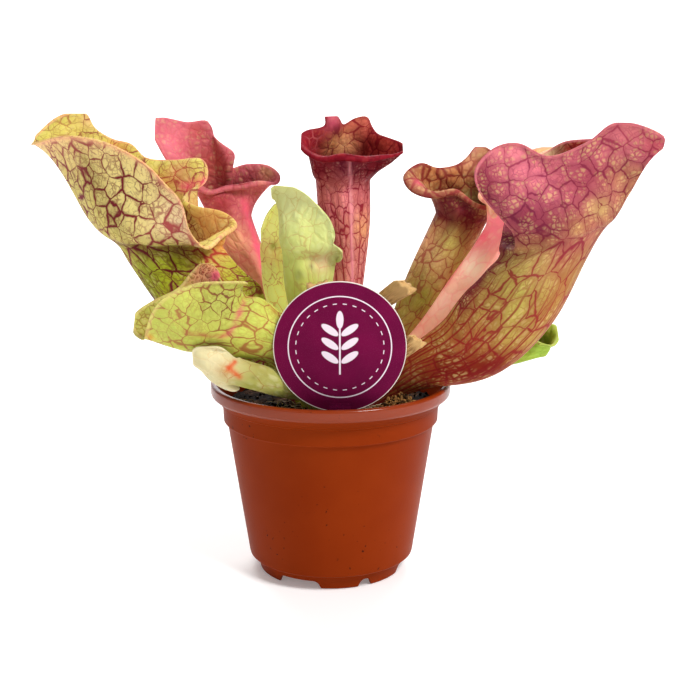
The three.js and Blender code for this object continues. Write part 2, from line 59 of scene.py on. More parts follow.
FAR_FROM_EDGE = 40.0
MERGE_REACH = 1e-6
SMOOTH = {"interpolation_type": "SMOOTHSTEP"}
VALUE_FIELDS = {"FLOAT": "value", "FLOAT_VECTOR": "vector", "FLOAT_COLOR": "color"}

log = logging.getLogger("pitcher_plant")

Colour = tuple[float, float, float]
Point = tuple[float, float, float]


def srgb(red: int, green: int, blue: int) -> Colour:
    """A colour as a painter reads it, from 0 to 255, in the shader's linear values."""
    def linear(value: int) -> float:
        """One of its three numbers."""
        share = value / 255
        return share / 12.92 if share <= 0.04045 else ((share + 0.055) / 1.055) ** 2.4
    return linear(red), linear(green), linear(blue)


def painted(code: int) -> Colour:
    """A colour written as 0xRRGGBB, in the shader's linear values."""
    return srgb(code >> 16, code >> 8 & 255, code & 255)


# ---- shader maths ----
class Wire:
    """A socket's value on its way through a material, which takes part in Python sums."""

    def __init__(self, look: "Look", socket: bpy.types.NodeSocket) -> None:
        """Keeps the socket, and the look whose nodes the sums are added to."""
        self.look = look
        self.socket = socket

    def _sum(self, operation: str, *values: Any) -> "Wire":
        """One Math node on one or two values."""
        return self.look.node("ShaderNodeMath", {"operation": operation}, dict(enumerate(values)))

    def __add__(self, other: Any) -> "Wire":
        """The two values added."""
        return self._sum("ADD", self, other)

    def __sub__(self, other: Any) -> "Wire":
        """This value less the other."""
        return self._sum("SUBTRACT", self, other)

    def __rsub__(self, other: Any) -> "Wire":
        """The other value less this one."""
        return self._sum("SUBTRACT", other, self)

    def __mul__(self, other: Any) -> "Wire":
        """The two values multiplied."""
        return self._sum("MULTIPLY", self, other)

    def __truediv__(self, other: Any) -> "Wire":
        """This value divided by the other."""
        return self._sum("DIVIDE", self, other)

    __radd__ = __add__
    __rmul__ = __mul__

    def larger(self, other: Any) -> "Wire":
        """The larger of the two values."""
        return self._sum("MAXIMUM", self, other)

    def absolute(self) -> "Wire":
        """The value without its sign."""
        return self._sum("ABSOLUTE", self)

    def fraction(self) -> "Wire":
        """What follows the value's point."""
        return self._sum("FRACT", self)

    def angle(self, across: Any) -> "Wire":
        """The angle whose tangent is this value over the other."""
        return self._sum("ARCTAN2", self, across)

    def step(self, low: Any, high: Any) -> "Wire":
        """A soft step, from 0 where this value is low to 1 where it is high."""
        return self.look.node("ShaderNodeMapRange", SMOOTH, {0: self, 1: low, 2: high})

    def below(self, high: Any, low: Any = 0.0) -> "Wire":
        """A soft step, from 1 where this value is low to 0 where it is high."""
        inputs = {0: self, 1: low, 2: high, 3: 1.0, 4: 0.0}
        return self.look.node("ShaderNodeMapRange", SMOOTH, inputs)


class Look:
    """A material: one Principled shader, and the nodes that feed it."""

    def __init__(self, name: str, **fixed: Any) -> None:
        """Makes the material.

        Args:
            name: The material's name.
            fixed: Values that are the same all over, by the shader's socket names, with _
                for a space.
        """
        self.material = bpy.data.materials.new(name)
        self.material.use_nodes = True
        self.tree = self.material.node_tree
        self.shader = self.tree.nodes["Principled BSDF"]
        for socket, value in fixed.items():
            self.shader.inputs[socket.replace("_", " ")].default_value = value

    def node(self, kind: str, settings: dict[str, Any], inputs: dict[Any, Any],
             output: Any = 0) -> Wire:
        """Adds one node.

        Args:
            kind: The node's type.
            settings: Its settings, which are set first.
            inputs: The values or wires of its sockets, by number or name.
            output: The output that is wanted, by number or name.

        Returns:
            The wire that leaves the output.
        """
        node = self.tree.nodes.new(kind)
        for name, value in settings.items():
            setattr(node, name, value)
        for socket, value in inputs.items():
            self._plug(node.inputs[socket], value)
        return Wire(self, node.outputs[output])

    def _plug(self, socket: bpy.types.NodeSocket, value: Any) -> None:
        """Links a wire to a socket, or sets the socket's value."""
        if isinstance(value, Wire):
            self.tree.links.new(value.socket, socket)
        elif socket.type == "RGBA" and len(value) == 3:
            socket.default_value = (*value, 1.0)
        else:
            socket.default_value = value

    def attribute(self, name: str, output: str = "Vector") -> Wire:
        """Reads the piece's own attribute."""
        return self.node("ShaderNodeAttribute", {"attribute_name": name}, {}, output)

    def place(self) -> Wire:
        """The point's place in the object, in metres."""
        return self.node("ShaderNodeTexCoord", {}, {}, "Object")

    def scaled(self, vector: Wire, scale: Any) -> Wire:
        """A vector times a number."""
        return self.node("ShaderNodeVectorMath", {"operation": "SCALE"}, {0: vector, 3: scale})

    def stretched(self, vector: Wire, factors: Point) -> Wire:
        """A vector times another, axis by axis."""
        return self.node("ShaderNodeVectorMath", {"operation": "MULTIPLY"}, {0: vector, 1: factors})

    def length(self, vector: Wire) -> Wire:
        """The length of a vector."""
        return self.node("ShaderNodeVectorMath", {"operation": "LENGTH"}, {0: vector}, "Value")

    def parts(self, vector: Wire) -> tuple[Wire, Wire, Wire]:
        """The three numbers of a vector."""
        node = self.node("ShaderNodeSeparateXYZ", {}, {0: vector}).socket.node
        return tuple(Wire(self, socket) for socket in node.outputs)

    def noise(self, vector: Wire, scale: float, detail: float = 2.0) -> Wire:
        """Soft noise from 0 to 1."""
        inputs = {"Vector": vector, "Scale": scale, "Detail": detail}
        return self.node("ShaderNodeTexNoise", {}, inputs)

    def warped(self, vector: Wire, scale: float, amount: float) -> Wire:
        """A vector pushed about by noise, by up to half of amount each way."""
        inputs = {"Vector": vector, "Scale": scale, "Detail": 2.0}
        push = self.node("ShaderNodeTexNoise", {}, inputs, "Color")
        middle = self.node("ShaderNodeVectorMath", {"operation": "SUBTRACT"},
                           {0: push, 1: (0.5, 0.5, 0.5)})
        return self.node("ShaderNodeVectorMath", {"operation": "ADD"},
                         {0: vector, 1: self.scaled(middle, amount)})

    def border(self, vector: Wire, size: float) -> Wire:
        """How far a point is from the border of its cell, for cells of about that size."""
        inputs = {"Vector": vector, "Scale": 1 / size, "Randomness": CELL_RANDOMNESS}
        settings = {"feature": "DISTANCE_TO_EDGE"}
        return self.node("ShaderNodeTexVoronoi", settings, inputs) * size

    def cell_value(self, vector: Wire, size: float) -> Wire:
        """A number from 0 to 1 that is the same all over a cell of border's pattern."""
        inputs = {"Vector": vector, "Scale": 1 / size, "Randomness": CELL_RANDOMNESS}
        return self.parts(self.node("ShaderNodeTexVoronoi", {}, inputs, "Color"))[0]

    def mix(self, share: Any, first: Any, second: Any, blend: str = "MIX") -> Wire:
        """Two colours mixed, with share from 0, all first, to 1, all second."""
        settings = {"data_type": "RGBA", "blend_type": blend}
        return self.node("ShaderNodeMix", settings, {0: share, 6: first, 7: second}, 2)

    def set(self, **wires: Any) -> None:
        """Feeds the shader's sockets, by their names, with _ for a space."""
        for socket, value in wires.items():
            self._plug(self.shader.inputs[socket.replace("_", " ")], value)

    def bump(self, height: Wire, reach: float, strength: float = 1.0) -> None:
        """Feeds the shader's normal with a height.

        Args:
            height: The height, from 0 to about 1.
            reach: How high 1 is, in metres.
            strength: How much of it shows.
        """
        inputs = {"Height": height, "Distance": reach, "Strength": strength}
        self.set(Normal=self.node("ShaderNodeBump", {}, inputs))


# ---- modelling by hand ----
def deselect_all() -> None:
    """Leaves nothing selected, in object mode."""
    if bpy.context.object and bpy.context.object.mode != "OBJECT":
        bpy.ops.object.mode_set(mode="OBJECT")
    bpy.ops.object.select_all(action="DESELECT")


def apply_place() -> None:
    """Moves the place, turn and scale of what is selected into its mesh."""
    bpy.ops.object.transform_apply(location=True, rotation=True, scale=True)


def start(name: str) -> bpy.types.Object:
    """Takes the primitive that was just added as a new piece, with its place in its mesh.

    Args:
        name: The piece's name.

    Returns:
        The piece, which is the active and only selected object.
    """
    piece = bpy.context.object
    piece.name = name
    piece.data.name = name
    apply_place()
    return piece


def link(name: str, content: bpy.types.ID) -> bpy.types.Object:
    """Puts a mesh, a light or a camera into the scene as a new object."""
    thing = bpy.data.objects.new(name, content)
    bpy.context.scene.collection.objects.link(thing)
    return thing


def loose_bits(name: str, points: np.ndarray, faces: Sequence[tuple[int, ...]]
               ) -> bpy.types.Object:
    """Makes a piece of many small bits, from their points in millimetres and their faces."""
    mesh = bpy.data.meshes.new(name)
    mesh.from_pydata((points * MM).tolist(), [], faces)
    return link(name, mesh)


def activate(piece: bpy.types.Object) -> None:
    """Makes the piece the active and only selected object."""
    deselect_all()
    piece.select_set(True)
    bpy.context.view_layer.objects.active = piece


def apply_modifier(piece: bpy.types.Object, kind: str, **settings: Any) -> None:
    """Adds a modifier to the piece and applies it.

    Args:
        piece: The piece.
        kind: The modifier's type.
        settings: Its settings.
    """
    activate(piece)
    modifier = piece.modifiers.new(kind.title(), kind)
    for name, value in settings.items():
        setattr(modifier, name, value)
    bpy.ops.object.modifier_apply(modifier=modifier.name)


def subdivide_smoothly(piece: bpy.types.Object, levels: int = 1) -> None:
    """Rounds the piece off by subdivision, applied."""
    apply_modifier(piece, "SUBSURF", levels=levels, render_levels=levels)


def settle(piece: bpy.types.Object, angle: float | None = None) -> None:
    """Applies the piece's place to its mesh, and shades it smooth.

    Args:
        piece: The piece.
        angle: In degrees, the angle from which an edge stays sharp. None smooths all.
    """
    activate(piece)
    apply_place()
    if angle is None:
        bpy.ops.object.shade_smooth()
    else:
        bpy.ops.object.shade_smooth_by_angle(angle=math.radians(angle))


def edit_all() -> None:
    """Goes to edit mode with all of the active piece selected."""
    bpy.ops.object.mode_set(mode="EDIT")
    bpy.ops.mesh.select_all(action="SELECT")


def select_edges(piece: bpy.types.Object, wanted: Callable[[bmesh.types.BMEdge], bool]) -> None:
    """Goes to edit mode with only the wanted edges of the active piece selected."""
    bpy.ops.object.mode_set(mode="EDIT")
    bpy.ops.mesh.select_all(action="DESELECT")
    shell = bmesh.from_edit_mesh(piece.data)
    for edge in shell.edges:
        edge.select_set(wanted(edge))
    bmesh.update_edit_mesh(piece.data)


def on_boundary(edge: bmesh.types.BMEdge) -> bool:
    """Whether the edge has a face on one side only."""
    return edge.is_boundary


def fill_selected() -> None:
    """Closes the selected ring of edges with a face, and leaves edit mode."""
    bpy.ops.mesh.edge_face_add()
    bpy.ops.object.mode_set(mode="OBJECT")


def resize_ring(share: float, flat: float = 1.0, height: float = 0.0) -> None:
    """Resizes the selected ring about the pot's axis.

    Args:
        share: Its new size, as a share of the old one.
        flat: The same for its height.
        height: The height, in metres, that stays where it is.
    """
    bpy.ops.transform.resize(value=(share, share, flat), center_override=(0, 0, height))


def face_outwards(piece: bpy.types.Object) -> None:
    """Merges doubled points and turns every face outwards."""
    activate(piece)
    edit_all()
    bpy.ops.mesh.remove_doubles(threshold=MERGE_REACH)
    bpy.ops.mesh.normals_make_consistent(inside=False)
    bpy.ops.object.mode_set(mode="OBJECT")


def get_points(mesh: bpy.types.Mesh) -> np.ndarray:
    """The mesh's points as an array with a row each."""
    flat = np.empty(len(mesh.vertices) * 3)
    mesh.vertices.foreach_get("co", flat)
    return flat.reshape(-1, 3)


def set_points(mesh: bpy.types.Mesh, points: np.ndarray) -> None:
    """Moves the mesh's points."""
    mesh.vertices.foreach_set("co", points.astype(np.float32).ravel())
    mesh.update()


def write_attribute(mesh: bpy.types.Mesh, name: str, kind: str, values: np.ndarray) -> None:
    """Writes a value for each of the mesh's points, as an attribute of that kind."""
    attribute = mesh.attributes.new(name, kind, "POINT")
    attribute.data.foreach_set(VALUE_FIELDS[kind], values.astype(np.float32).ravel())


def wear(piece: bpy.types.Object, looks: Sequence[Look]) -> None:
    """Gives the piece its materials, unless it has some."""
    if not piece.data.materials:
        for look in looks:
            piece.data.materials.append(look.material)


def hand_over(piece: bpy.types.Object, node: str, looks: Sequence[Look]) -> None:
    """Puts a finished piece in the place of its CAD node, and reports it.

    Args:
        piece: The piece.
        node: The CAD node that it stands for.
        looks: Its materials, in slot order.
    """
    wear(piece, looks)
    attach(piece, BODY)
    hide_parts(node)
    log.info("%s: %d points", piece.name, len(piece.data.vertices))


# ---- curves ----
def hermite(begin: np.ndarray, begin_slope: np.ndarray, end: np.ndarray, end_slope: np.ndarray,
            share: np.ndarray) -> np.ndarray:
    """A cubic from begin to end with the given slopes, read at a share of the way."""
    square, cube = share ** 2, share ** 3
    return ((2 * cube - 3 * square + 1) * begin + (cube - 2 * square + share) * begin_slope
            + (3 * square - 2 * cube) * end + (cube - square) * end_slope)


def curve_through(keys: np.ndarray, places: np.ndarray, where: np.ndarray,
                  period: float = 0.0) -> np.ndarray:
    """A smooth curve through keys that stand at rising places.

    Args:
        keys: A row of values for each key.
        places: The keys' places.
        where: The places to read.
        period: The length after which the curve closes on itself, or 0 if it has ends.

    Returns:
        A row of values for each place that was asked for.
    """
    if period:
        around = [len(keys) - 1, *range(len(keys)), 0, 1]
        turns = np.array([-1.0, *[0.0] * len(keys), 1.0, 1.0])
    else:
        around = [0, *range(len(keys)), len(keys) - 1]
        turns = np.zeros(len(keys) + 2)
    spots = places[around] + turns * period
    values = keys[around]
    index = np.searchsorted(spots[1:-1], where, side="right")
    index = np.clip(index, 1, len(spots) - 3)
    width = (spots[index + 1] - spots[index])[:, None]
    share = np.clip((where - spots[index])[:, None] / width, 0, 1)
    rise = (values[index + 1] - values[index - 1])
    begin_slope = rise / (spots[index + 1] - spots[index - 1])[:, None] * width
    rise = (values[index + 2] - values[index])
    end_slope = rise / (spots[index + 2] - spots[index])[:, None] * width
    return hermite(values[index], begin_slope, values[index + 1], end_slope, share)


def unit(vectors: np.ndarray) -> np.ndarray:
    """Vectors at length 1."""
    return vectors / np.linalg.norm(vectors, axis=-1, keepdims=True)


def smooth_step(value: float, low: float, high: float) -> float:
    """A soft step from 0 at low to 1 at high."""
    share = min(max((value - low) / (high - low), 0.0), 1.0)
    return share * share * (3 - 2 * share)


def from_segment(points: np.ndarray, begin: Point, end: Point) -> np.ndarray:
    """How far each point is from the straight line between two ends."""
    first, last = np.array(begin, float), np.array(end, float)
    way = last - first
    length = float(way @ way)
    share = np.zeros(points.shape[:-1])
    if length:
        share = np.clip((points - first) @ way / length, 0, 1)
    return np.linalg.norm(points - first - share[..., None] * way, axis=-1)


def distances(points: np.ndarray, line: Sequence[Point]) -> Iterator[np.ndarray]:
    """How far each point is from each straight part of a line, which may be one point."""
    for begin, end in zip(line, line[1:] or line):
        yield from_segment(points, begin, end)


# ---- pitcher leaves ----
class Turn(Enum):
    """Which way a leaf's angles run from its front, seen from above."""

    CLOCKWISE = -1
    ANTICLOCKWISE = 1


@dataclass(frozen=True)
class Swell:
    """A soft bulge of a leaf's wall along a line, or with a negative height a crease."""

    reach: float
    height: float
    line: tuple[Point, ...]


@dataclass(frozen=True)
class Tint:
    """A soft patch of other colours, as 0xRRGGBB, round a point or along a line."""

    reach: float
    cell: int
    net: int
    strength: float
    line: tuple[Point, ...]


def bulge(reach: float, height: float, *line: Point) -> Swell:
    """A swell along a line through the given points."""
    return Swell(reach, height, line)


def patch(reach: float, cell: int, net: int, strength: float, *line: Point) -> Tint:
    """A tint round the given point, or along a line through the given points."""
    return Tint(reach, cell, net, strength, line)


@dataclass(frozen=True)
class Skin:
    """How one side of a leaf is coloured.

    bands holds (share, cell colour, net colour) from the foot, 0, by the throat, 1, to the
    edge of the hood, 2. The cells are what lies between the net's veins. Colours are 0xRRGGBB.
    """

    bands: tuple[tuple[float, int, int], ...]
    tints: tuple[Tint, ...] = ()
    rim: int = 0xE6AA82
    rim_width: float = 1.3
    fleck: int = 0xDDC88D
    flecks: float = 0.3
    halo: float = 0.12
    depth: float = 1.0
    strength: float = 0.9
    cell_size: float = 9.0
    vein: float = 1.3
    mesh_size: float = 3.2
    mesh: float = 0.5
    stripes: int = 0
    stripe_vein: float = 0.6
    roughness: float = 0.46
    # Emission strength in the leaf's own colour: a painted glow that lightens the side where it
    # lies in shade.
    fleck_mask_and_painted_glow: float = 0.06


@dataclass(frozen=True)
class Roll:
    """The rolled lip along a stretch of a hood's edge, in degrees from the leaf's front."""

    middle: float
    spread: float
    radius: float


@dataclass(frozen=True)
class LeafForm:
    """A leaf's shape: spine keys [x, y, z, radius sideways, radius to the front] from foot to
    throat, and edge keys [angle from the front, x, y, z, the slope that the rim ends at]."""

    spine: tuple[tuple[float, ...], ...]
    edge: tuple[tuple[float, ...], ...]
    front: Point
    mouth: Point
    turn: Turn
    ridge: float
    flare: float
    stretch: float = 1.6
    roll: Roll = Roll(0, 60, 0.3)
    swells: tuple[Swell, ...] = ()
    ripple: float = 0.25


@dataclass(frozen=True)
class Fineness:
    """How finely a leaf is sampled."""

    around: int
    tube: int
    hood: int
    roll: int


FINE = Fineness(around=96, tube=34, hood=30, roll=6)
MEDIUM = Fineness(around=80, tube=30, hood=24, roll=5)
SLIGHT = Fineness(around=56, tube=22, hood=18, roll=4)


@dataclass
class Pitcher:
    """One pitcher leaf: a thin shell, open at its mouth, on a stem."""

    node: str
    slot: str
    form: LeafForm
    outer: Skin
    inner: Skin
    fineness: Fineness = FINE
    wall: float = 0.7
    level_from: float = 0.5
    ridge_spread: float = 16.0
    roll_turn: float = 140.0
    least_roll: float = 0.25

    def section(self, share: float) -> dict[str, Any]:
        """The leaf's section at a share of the way from its foot to its throat.

        Args:
            share: From 0 at the foot to 1 at the throat.

        Returns:
            The centre, the ways square to the section, to its front and to its side, and the
            radii sideways and to the front.
        """
        keys = np.array(self.form.spine, float)
        places = np.linspace(0, 1, len(keys))
        around = np.array([share, max(share - 0.02, 0), min(share + 0.02, 1)])
        here, before, after = curve_through(keys, places, around)
        along = unit(after[:3] - before[:3])
        level = smooth_step(share, self.level_from, 1)
        normal = unit(along + (unit(np.array(self.form.mouth, float)) - along) * level)
        front = np.array(self.form.front, float)
        ahead = unit(front - normal * (front @ normal))
        side = np.cross(normal, ahead) * self.form.turn.value
        return {"centre": here[:3], "normal": normal, "ahead": ahead, "side": side,
                "wide": here[3], "deep": here[4], "share": share}

    def tube_ring(self, cut: dict[str, Any], angles: np.ndarray) -> np.ndarray:
        """One ring of the tube's outer face.

        Args:
            cut: The section that it lies in.
            angles: In degrees from the leaf's front.

        Returns:
            A point for each angle.
        """
        from_front = (angles + 180) % 360 - 180
        ridge = self.form.ridge * cut["share"] * np.exp(-(from_front / self.ridge_spread) ** 2)
        turned = np.radians(angles)
        ahead = (cut["deep"] * np.cos(turned) + ridge)[:, None] * cut["ahead"]
        return cut["centre"] + ahead + (cut["wide"] * np.sin(turned))[:, None] * cut["side"]

    def hood_rings(self, angles: np.ndarray) -> tuple[list[np.ndarray], np.ndarray]:
        """The rings of the hood's outer face, with the rolled lip at their end.

        Args:
            angles: In degrees from the leaf's front.

        Returns:
            The rings after the throat's own, and the hood's length at each angle.
        """
        throat, below = self.section(1), self.section(0.97)
        begin = self.tube_ring(throat, angles)
        radial = unit(begin - throat["centre"])
        leave = unit(unit(begin - self.tube_ring(below, angles)) + radial * self.form.flare)
        keys = np.array(self.form.edge, float)
        read = curve_through(keys[:, 1:], keys[:, 0], angles, 360)
        end, rise = read[:, :3], np.radians(read[:, 3])[:, None]
        out = end - throat["centre"]
        out[:, 2] = 0
        out = unit(out)
        upward = np.array([0.0, 0.0, 1.0])
        arrive = out * np.cos(rise) + upward * np.sin(rise)
        reach = np.linalg.norm(end - begin, axis=1)[:, None]
        rings = []
        for row in range(1, self.fineness.hood + 1):
            share = np.array(row / self.fineness.hood)
            rings.append(hermite(begin, leave * reach, end, arrive * reach, share))
        under = out * np.sin(rise) - upward * np.cos(rise)
        roll = self.form.roll
        from_middle = (angles - roll.middle + 180) % 360 - 180
        fade = np.exp(-(from_middle / roll.spread) ** 2)
        radius = self.least_roll + (roll.radius - self.least_roll) * fade
        for row in range(1, self.fineness.roll + 1):
            swing = math.radians(self.roll_turn * row / self.fineness.roll)
            curl = (1 - math.cos(swing)) * under + math.sin(swing) * arrive
            rings.append(end + radius[:, None] * curl)
        return rings, reach[:, 0]

    def outer_face(self) -> tuple[np.ndarray, np.ndarray, np.ndarray, np.ndarray]:
        """The leaf's outer face as a grid of points.

        Returns:
            The points as rows by columns, the last column over the first; the pattern's
            coordinates there, in which the tube is straight; each point's share of the way, 1
            at the throat and 2 at the edge; and its distance from the edge.
        """
        count = self.fineness
        angles = np.linspace(0, 360, count.around + 1)
        angles[-1] = 0
        rings, pattern, shares, from_edge = [], [], [], []
        travelled, last = 0.0, None
        for row in range(count.tube + 1):
            cut = self.section(row / count.tube)
            if last is not None:
                travelled += float(np.linalg.norm(cut["centre"] - last))
            last = cut["centre"]
            ring = self.tube_ring(cut, angles)
            rings.append(ring)
            pattern.append(self.unroll(ring, cut, travelled / self.form.stretch))
            shares.append(np.full(len(angles), cut["share"]))
        hood, reach = self.hood_rings(angles)
        for row, ring in enumerate(hood, start=1):
            rings.append(ring)
            pattern.append(self.unroll(ring, cut, travelled / self.form.stretch))
            shares.append(np.full(len(angles), 1 + min(row / count.hood, 1.0)))
        for share in shares:
            from_edge.append(np.clip(2 - share, 0, 1) * reach + (share < 1) * FAR_FROM_EDGE)
        grid = np.array(rings)
        grid = self.swell(grid, np.array(shares), angles)
        return grid, np.array(pattern), np.array(shares), np.array(from_edge)

    def unroll(self, ring: np.ndarray, cut: dict[str, Any], height: float) -> np.ndarray:
        """The pattern's coordinates of a ring.

        Args:
            ring: The ring's points.
            cut: The section that it belongs to.
            height: How far up the straight tube that section is.

        Returns:
            The places ahead, sideways and upwards from the section's centre, for each point.
        """
        away = ring - cut["centre"]
        up = away @ cut["normal"] + height
        return np.stack([away @ cut["ahead"], away @ cut["side"], up], axis=-1)

    def swell(self, grid: np.ndarray, shares: np.ndarray, angles: np.ndarray) -> np.ndarray:
        """Pushes the outer face in and out where the form says, with faint ripples.

        Args:
            grid: The points, rows by columns.
            shares: Each point's share of the way.
            angles: The columns' angles.

        Returns:
            The moved points.
        """
        normals = self.normals(grid)
        push = np.zeros(grid.shape[:2])
        for swell in self.form.swells:
            for away in distances(grid, swell.line):
                push += swell.height * np.exp(-(away / swell.reach) ** 2)
        turned = np.radians(angles)[None, :]
        waves = np.sin(5 * turned + 6 * shares) + 0.6 * np.sin(9 * turned - 11 * shares + 1)
        fade = np.clip(shares - 0.3, 0, 1) * np.clip((2 - shares) * 4, 0, 1)
        push += self.form.ripple * waves * fade
        return grid + normals * push[..., None]

    def normals(self, grid: np.ndarray) -> np.ndarray:
        """The way out of the leaf at each point of its outer face."""
        ring = grid[:, :-1]
        around = np.roll(ring, -1, axis=1) - np.roll(ring, 1, axis=1)
        up = np.gradient(ring, axis=0)
        normals = unit(np.cross(around, up) + 1e-12) * self.form.turn.value
        return np.concatenate([normals, normals[:, :1]], axis=1)

    def paint(self, mesh: bpy.types.Mesh, side: str, skin: Skin, points: np.ndarray,
              shares: np.ndarray) -> None:
        """Writes one side's colours to the mesh, as attributes.

        Args:
            mesh: The mesh.
            side: The end of the attributes' names.
            skin: The side's colours.
            points: The mesh's points, in millimetres.
            shares: Each point's share of the way.
        """
        spots = [band[0] for band in skin.bands]
        for name, column in (("cell", 1), ("net", 2)):
            stops = np.array([painted(band[column]) for band in skin.bands])
            colours = np.stack([np.interp(shares, spots, stop) for stop in stops.T], axis=-1)
            for tint in skin.tints:
                other = np.array(painted(tint.cell if name == "cell" else tint.net))
                for away in distances(points, tint.line):
                    share = (tint.strength * np.exp(-(away / tint.reach) ** 2))[:, None]
                    colours = colours + (other - colours) * share
            values = np.concatenate([colours, np.ones((len(colours), 1))], axis=1)
            write_attribute(mesh, f"{name}_{side}", "FLOAT_COLOR", values)

    def build(self, looks: Sequence[Look]) -> bpy.types.Object:
        """Models the leaf.

        Args:
            looks: The materials of its outer and inner side.

        Returns:
            The finished piece, in the place of its CAD node.
        """
        grid, pattern, shares, from_edge = self.outer_face()
        rows, columns = grid.shape[:2]
        deselect_all()
        bpy.ops.mesh.primitive_grid_add(x_subdivisions=columns - 1, y_subdivisions=rows - 1, size=1)
        piece = start(self.node + "_leaf")
        mesh = piece.data
        points = grid.reshape(-1, 3)
        set_points(mesh, points * MM)
        write_attribute(mesh, "vein", "FLOAT_VECTOR", pattern)
        write_attribute(mesh, "from_edge", "FLOAT", from_edge)
        self.paint(mesh, "outer", self.outer, points, shares.ravel())
        self.paint(mesh, "inner", self.inner, points, shares.ravel())
        edit_all()
        if self.form.turn is Turn.CLOCKWISE:
            bpy.ops.mesh.flip_normals()
        bpy.ops.mesh.remove_doubles(threshold=MERGE_REACH)
        bpy.ops.object.mode_set(mode="OBJECT")
        self.close_foot(piece, points[0])
        wear(piece, looks)
        apply_modifier(piece, "SOLIDIFY", thickness=self.wall * MM, offset=-1,
                       material_offset=1, use_even_offset=False)
        subdivide_smoothly(piece)
        low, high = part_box(self.node)
        set_points(mesh, np.clip(get_points(mesh), np.array(low), np.array(high)))
        settle(piece)
        return piece

    def close_foot(self, piece: bpy.types.Object, foot: np.ndarray) -> None:
        """Closes the stem's lower end.

        Args:
            piece: The leaf's shell.
            foot: A point of its lowest ring.
        """
        centre = Vector([value * MM for value in self.form.spine[0][:3]])
        reach = (Vector([value * MM for value in foot]) - centre).length + 2e-4
        activate(piece)
        select_edges(piece, lambda edge: edge.is_boundary and all(
            (vertex.co - centre).length < reach for vertex in edge.verts))
        fill_selected()

    def look(self, side: str, skin: Skin) -> Look:
        """The material of one side of the leaf.

        Args:
            side: "outer" or "inner".
            skin: The side's colours and net.

        Returns:
            The look.
        """
        # The emission, in the same colour as the surface, is a painted glow that lightens leaves
        # lying in shade.
        look = Look(f"{self.node}_{side}", Subsurface_Weight=0.1, Subsurface_Scale=0.002,
                    Subsurface_Radius=(1.0, 0.5, 0.2), Coat_Weight=0.02, Coat_Roughness=0.4,
                    Specular_IOR_Level=0.02, Emission_Strength=skin.fleck_mask_and_painted_glow)
        vein = look.attribute("vein")
        wide = look.warped(vein, 0.05, 6.0)
        cells = look.warped(wide, 0.3, 1.9)
        small = look.warped(wide, 0.8, 1.0)
        main = look.border(cells, skin.cell_size)
        half = look.noise(vein, 0.1).step(0.36, 0.66) * (skin.vein * 0.42) + skin.vein * 0.12
        mask = main.below(half * 1.7, half * 0.2)
        patchy = look.noise(vein, 0.12, 1.0).step(0.36, 0.6)
        second = look.border(look.warped(wide, 0.5, 1.4), skin.cell_size * 0.46)
        mask = mask.larger(second.below(skin.vein * 0.34, 0.04) * patchy * (skin.mesh * 1.3))
        fine = look.border(small, skin.mesh_size)
        broken = look.noise(vein, 0.4, 1.0).step(0.36, 0.6)
        mask = mask.larger(fine.below(0.3, 0.05) * broken * skin.mesh)
        if skin.stripes:
            mask = mask.larger(self.stripes(look, vein, skin))
        dots = look.noise(vein, 2.2, 2.0).step(0.54, 0.74) * (skin.mesh * 0.45)
        halo = main.below(skin.cell_size * 0.34) * skin.halo
        shade = (mask.larger(dots) * skin.strength).larger(halo)
        cell = look.attribute("cell_" + side, "Color")
        # The fleck mask: pale flecks in the middle of the fine net's cells, in patches.
        fleck_mask_and_painted_glow = fine.step(0.1, skin.mesh_size * 0.3) * look.noise(vein, 0.17).step(0.4, 0.62)
        cell = look.mix(fleck_mask_and_painted_glow * skin.flecks, cell, painted(skin.fleck))
        tone = look.cell_value(cells, skin.cell_size) * 0.3
        deep = (look.noise(vein, 0.05, 1.0).step(0.35, 0.75) * 0.2 + tone) * skin.depth
        cell = look.mix(deep, cell, look.mix(1.0, cell, (0.62, 0.62, 0.45), "MULTIPLY"))
        colour = look.mix(shade, cell, look.attribute("net_" + side, "Color"))
        near = look.attribute("from_edge", "Fac").below(skin.rim_width)
        colour = look.mix(near * 0.5, colour, painted(skin.rim))
        grain = look.noise(vein, 1.6, 2.0)
        look.set(Base_Color=colour, Emission_Color=colour,
                 Roughness=grain * 0.16 + (skin.roughness - 0.08))
        puff = main.step(0, skin.cell_size * 0.36)
        look.bump(puff * 0.8 + fine.step(0, 0.9) * 0.2 + grain * 0.06, 0.0006, 0.6)
        return look

    def stripes(self, look: Look, vein: Wire, skin: Skin) -> Wire:
        """Veins that run up the tube, fading out in the hood.

        Args:
            look: The look that they belong to.
            vein: The pattern's coordinates.
            skin: The side's colours and net.

        Returns:
            A wire that is 1 on the veins.
        """
        ahead, side, up = look.parts(look.warped(vein, 0.05, 5.0))
        turn = side.angle(ahead)
        radius = look.length(look.stretched(vein, (1, 1, 0)))
        part = (turn * (skin.stripes / math.tau) + 10.0).fraction()
        width = radius * (math.tau / skin.stripes) * (part - 0.5).absolute()
        spine = self.form.spine
        top = sum(math.dist(a[:3], b[:3]) for a, b in zip(spine, spine[1:])) / self.form.stretch
        fade = up.below(top + 14, top * 0.6)
        return width.below(skin.stripe_vein, skin.stripe_vein * 0.3) * fade

    def dress(self) -> None:
        """Builds the leaf and gives it its materials."""
        looks = [self.look("outer", self.outer), self.look("inner", self.inner)]
        hand_over(self.build(looks), self.node, looks)


MAROON = 0x7D2A33
DARK_RED = 0x70181E
OLIVE = 0x787820

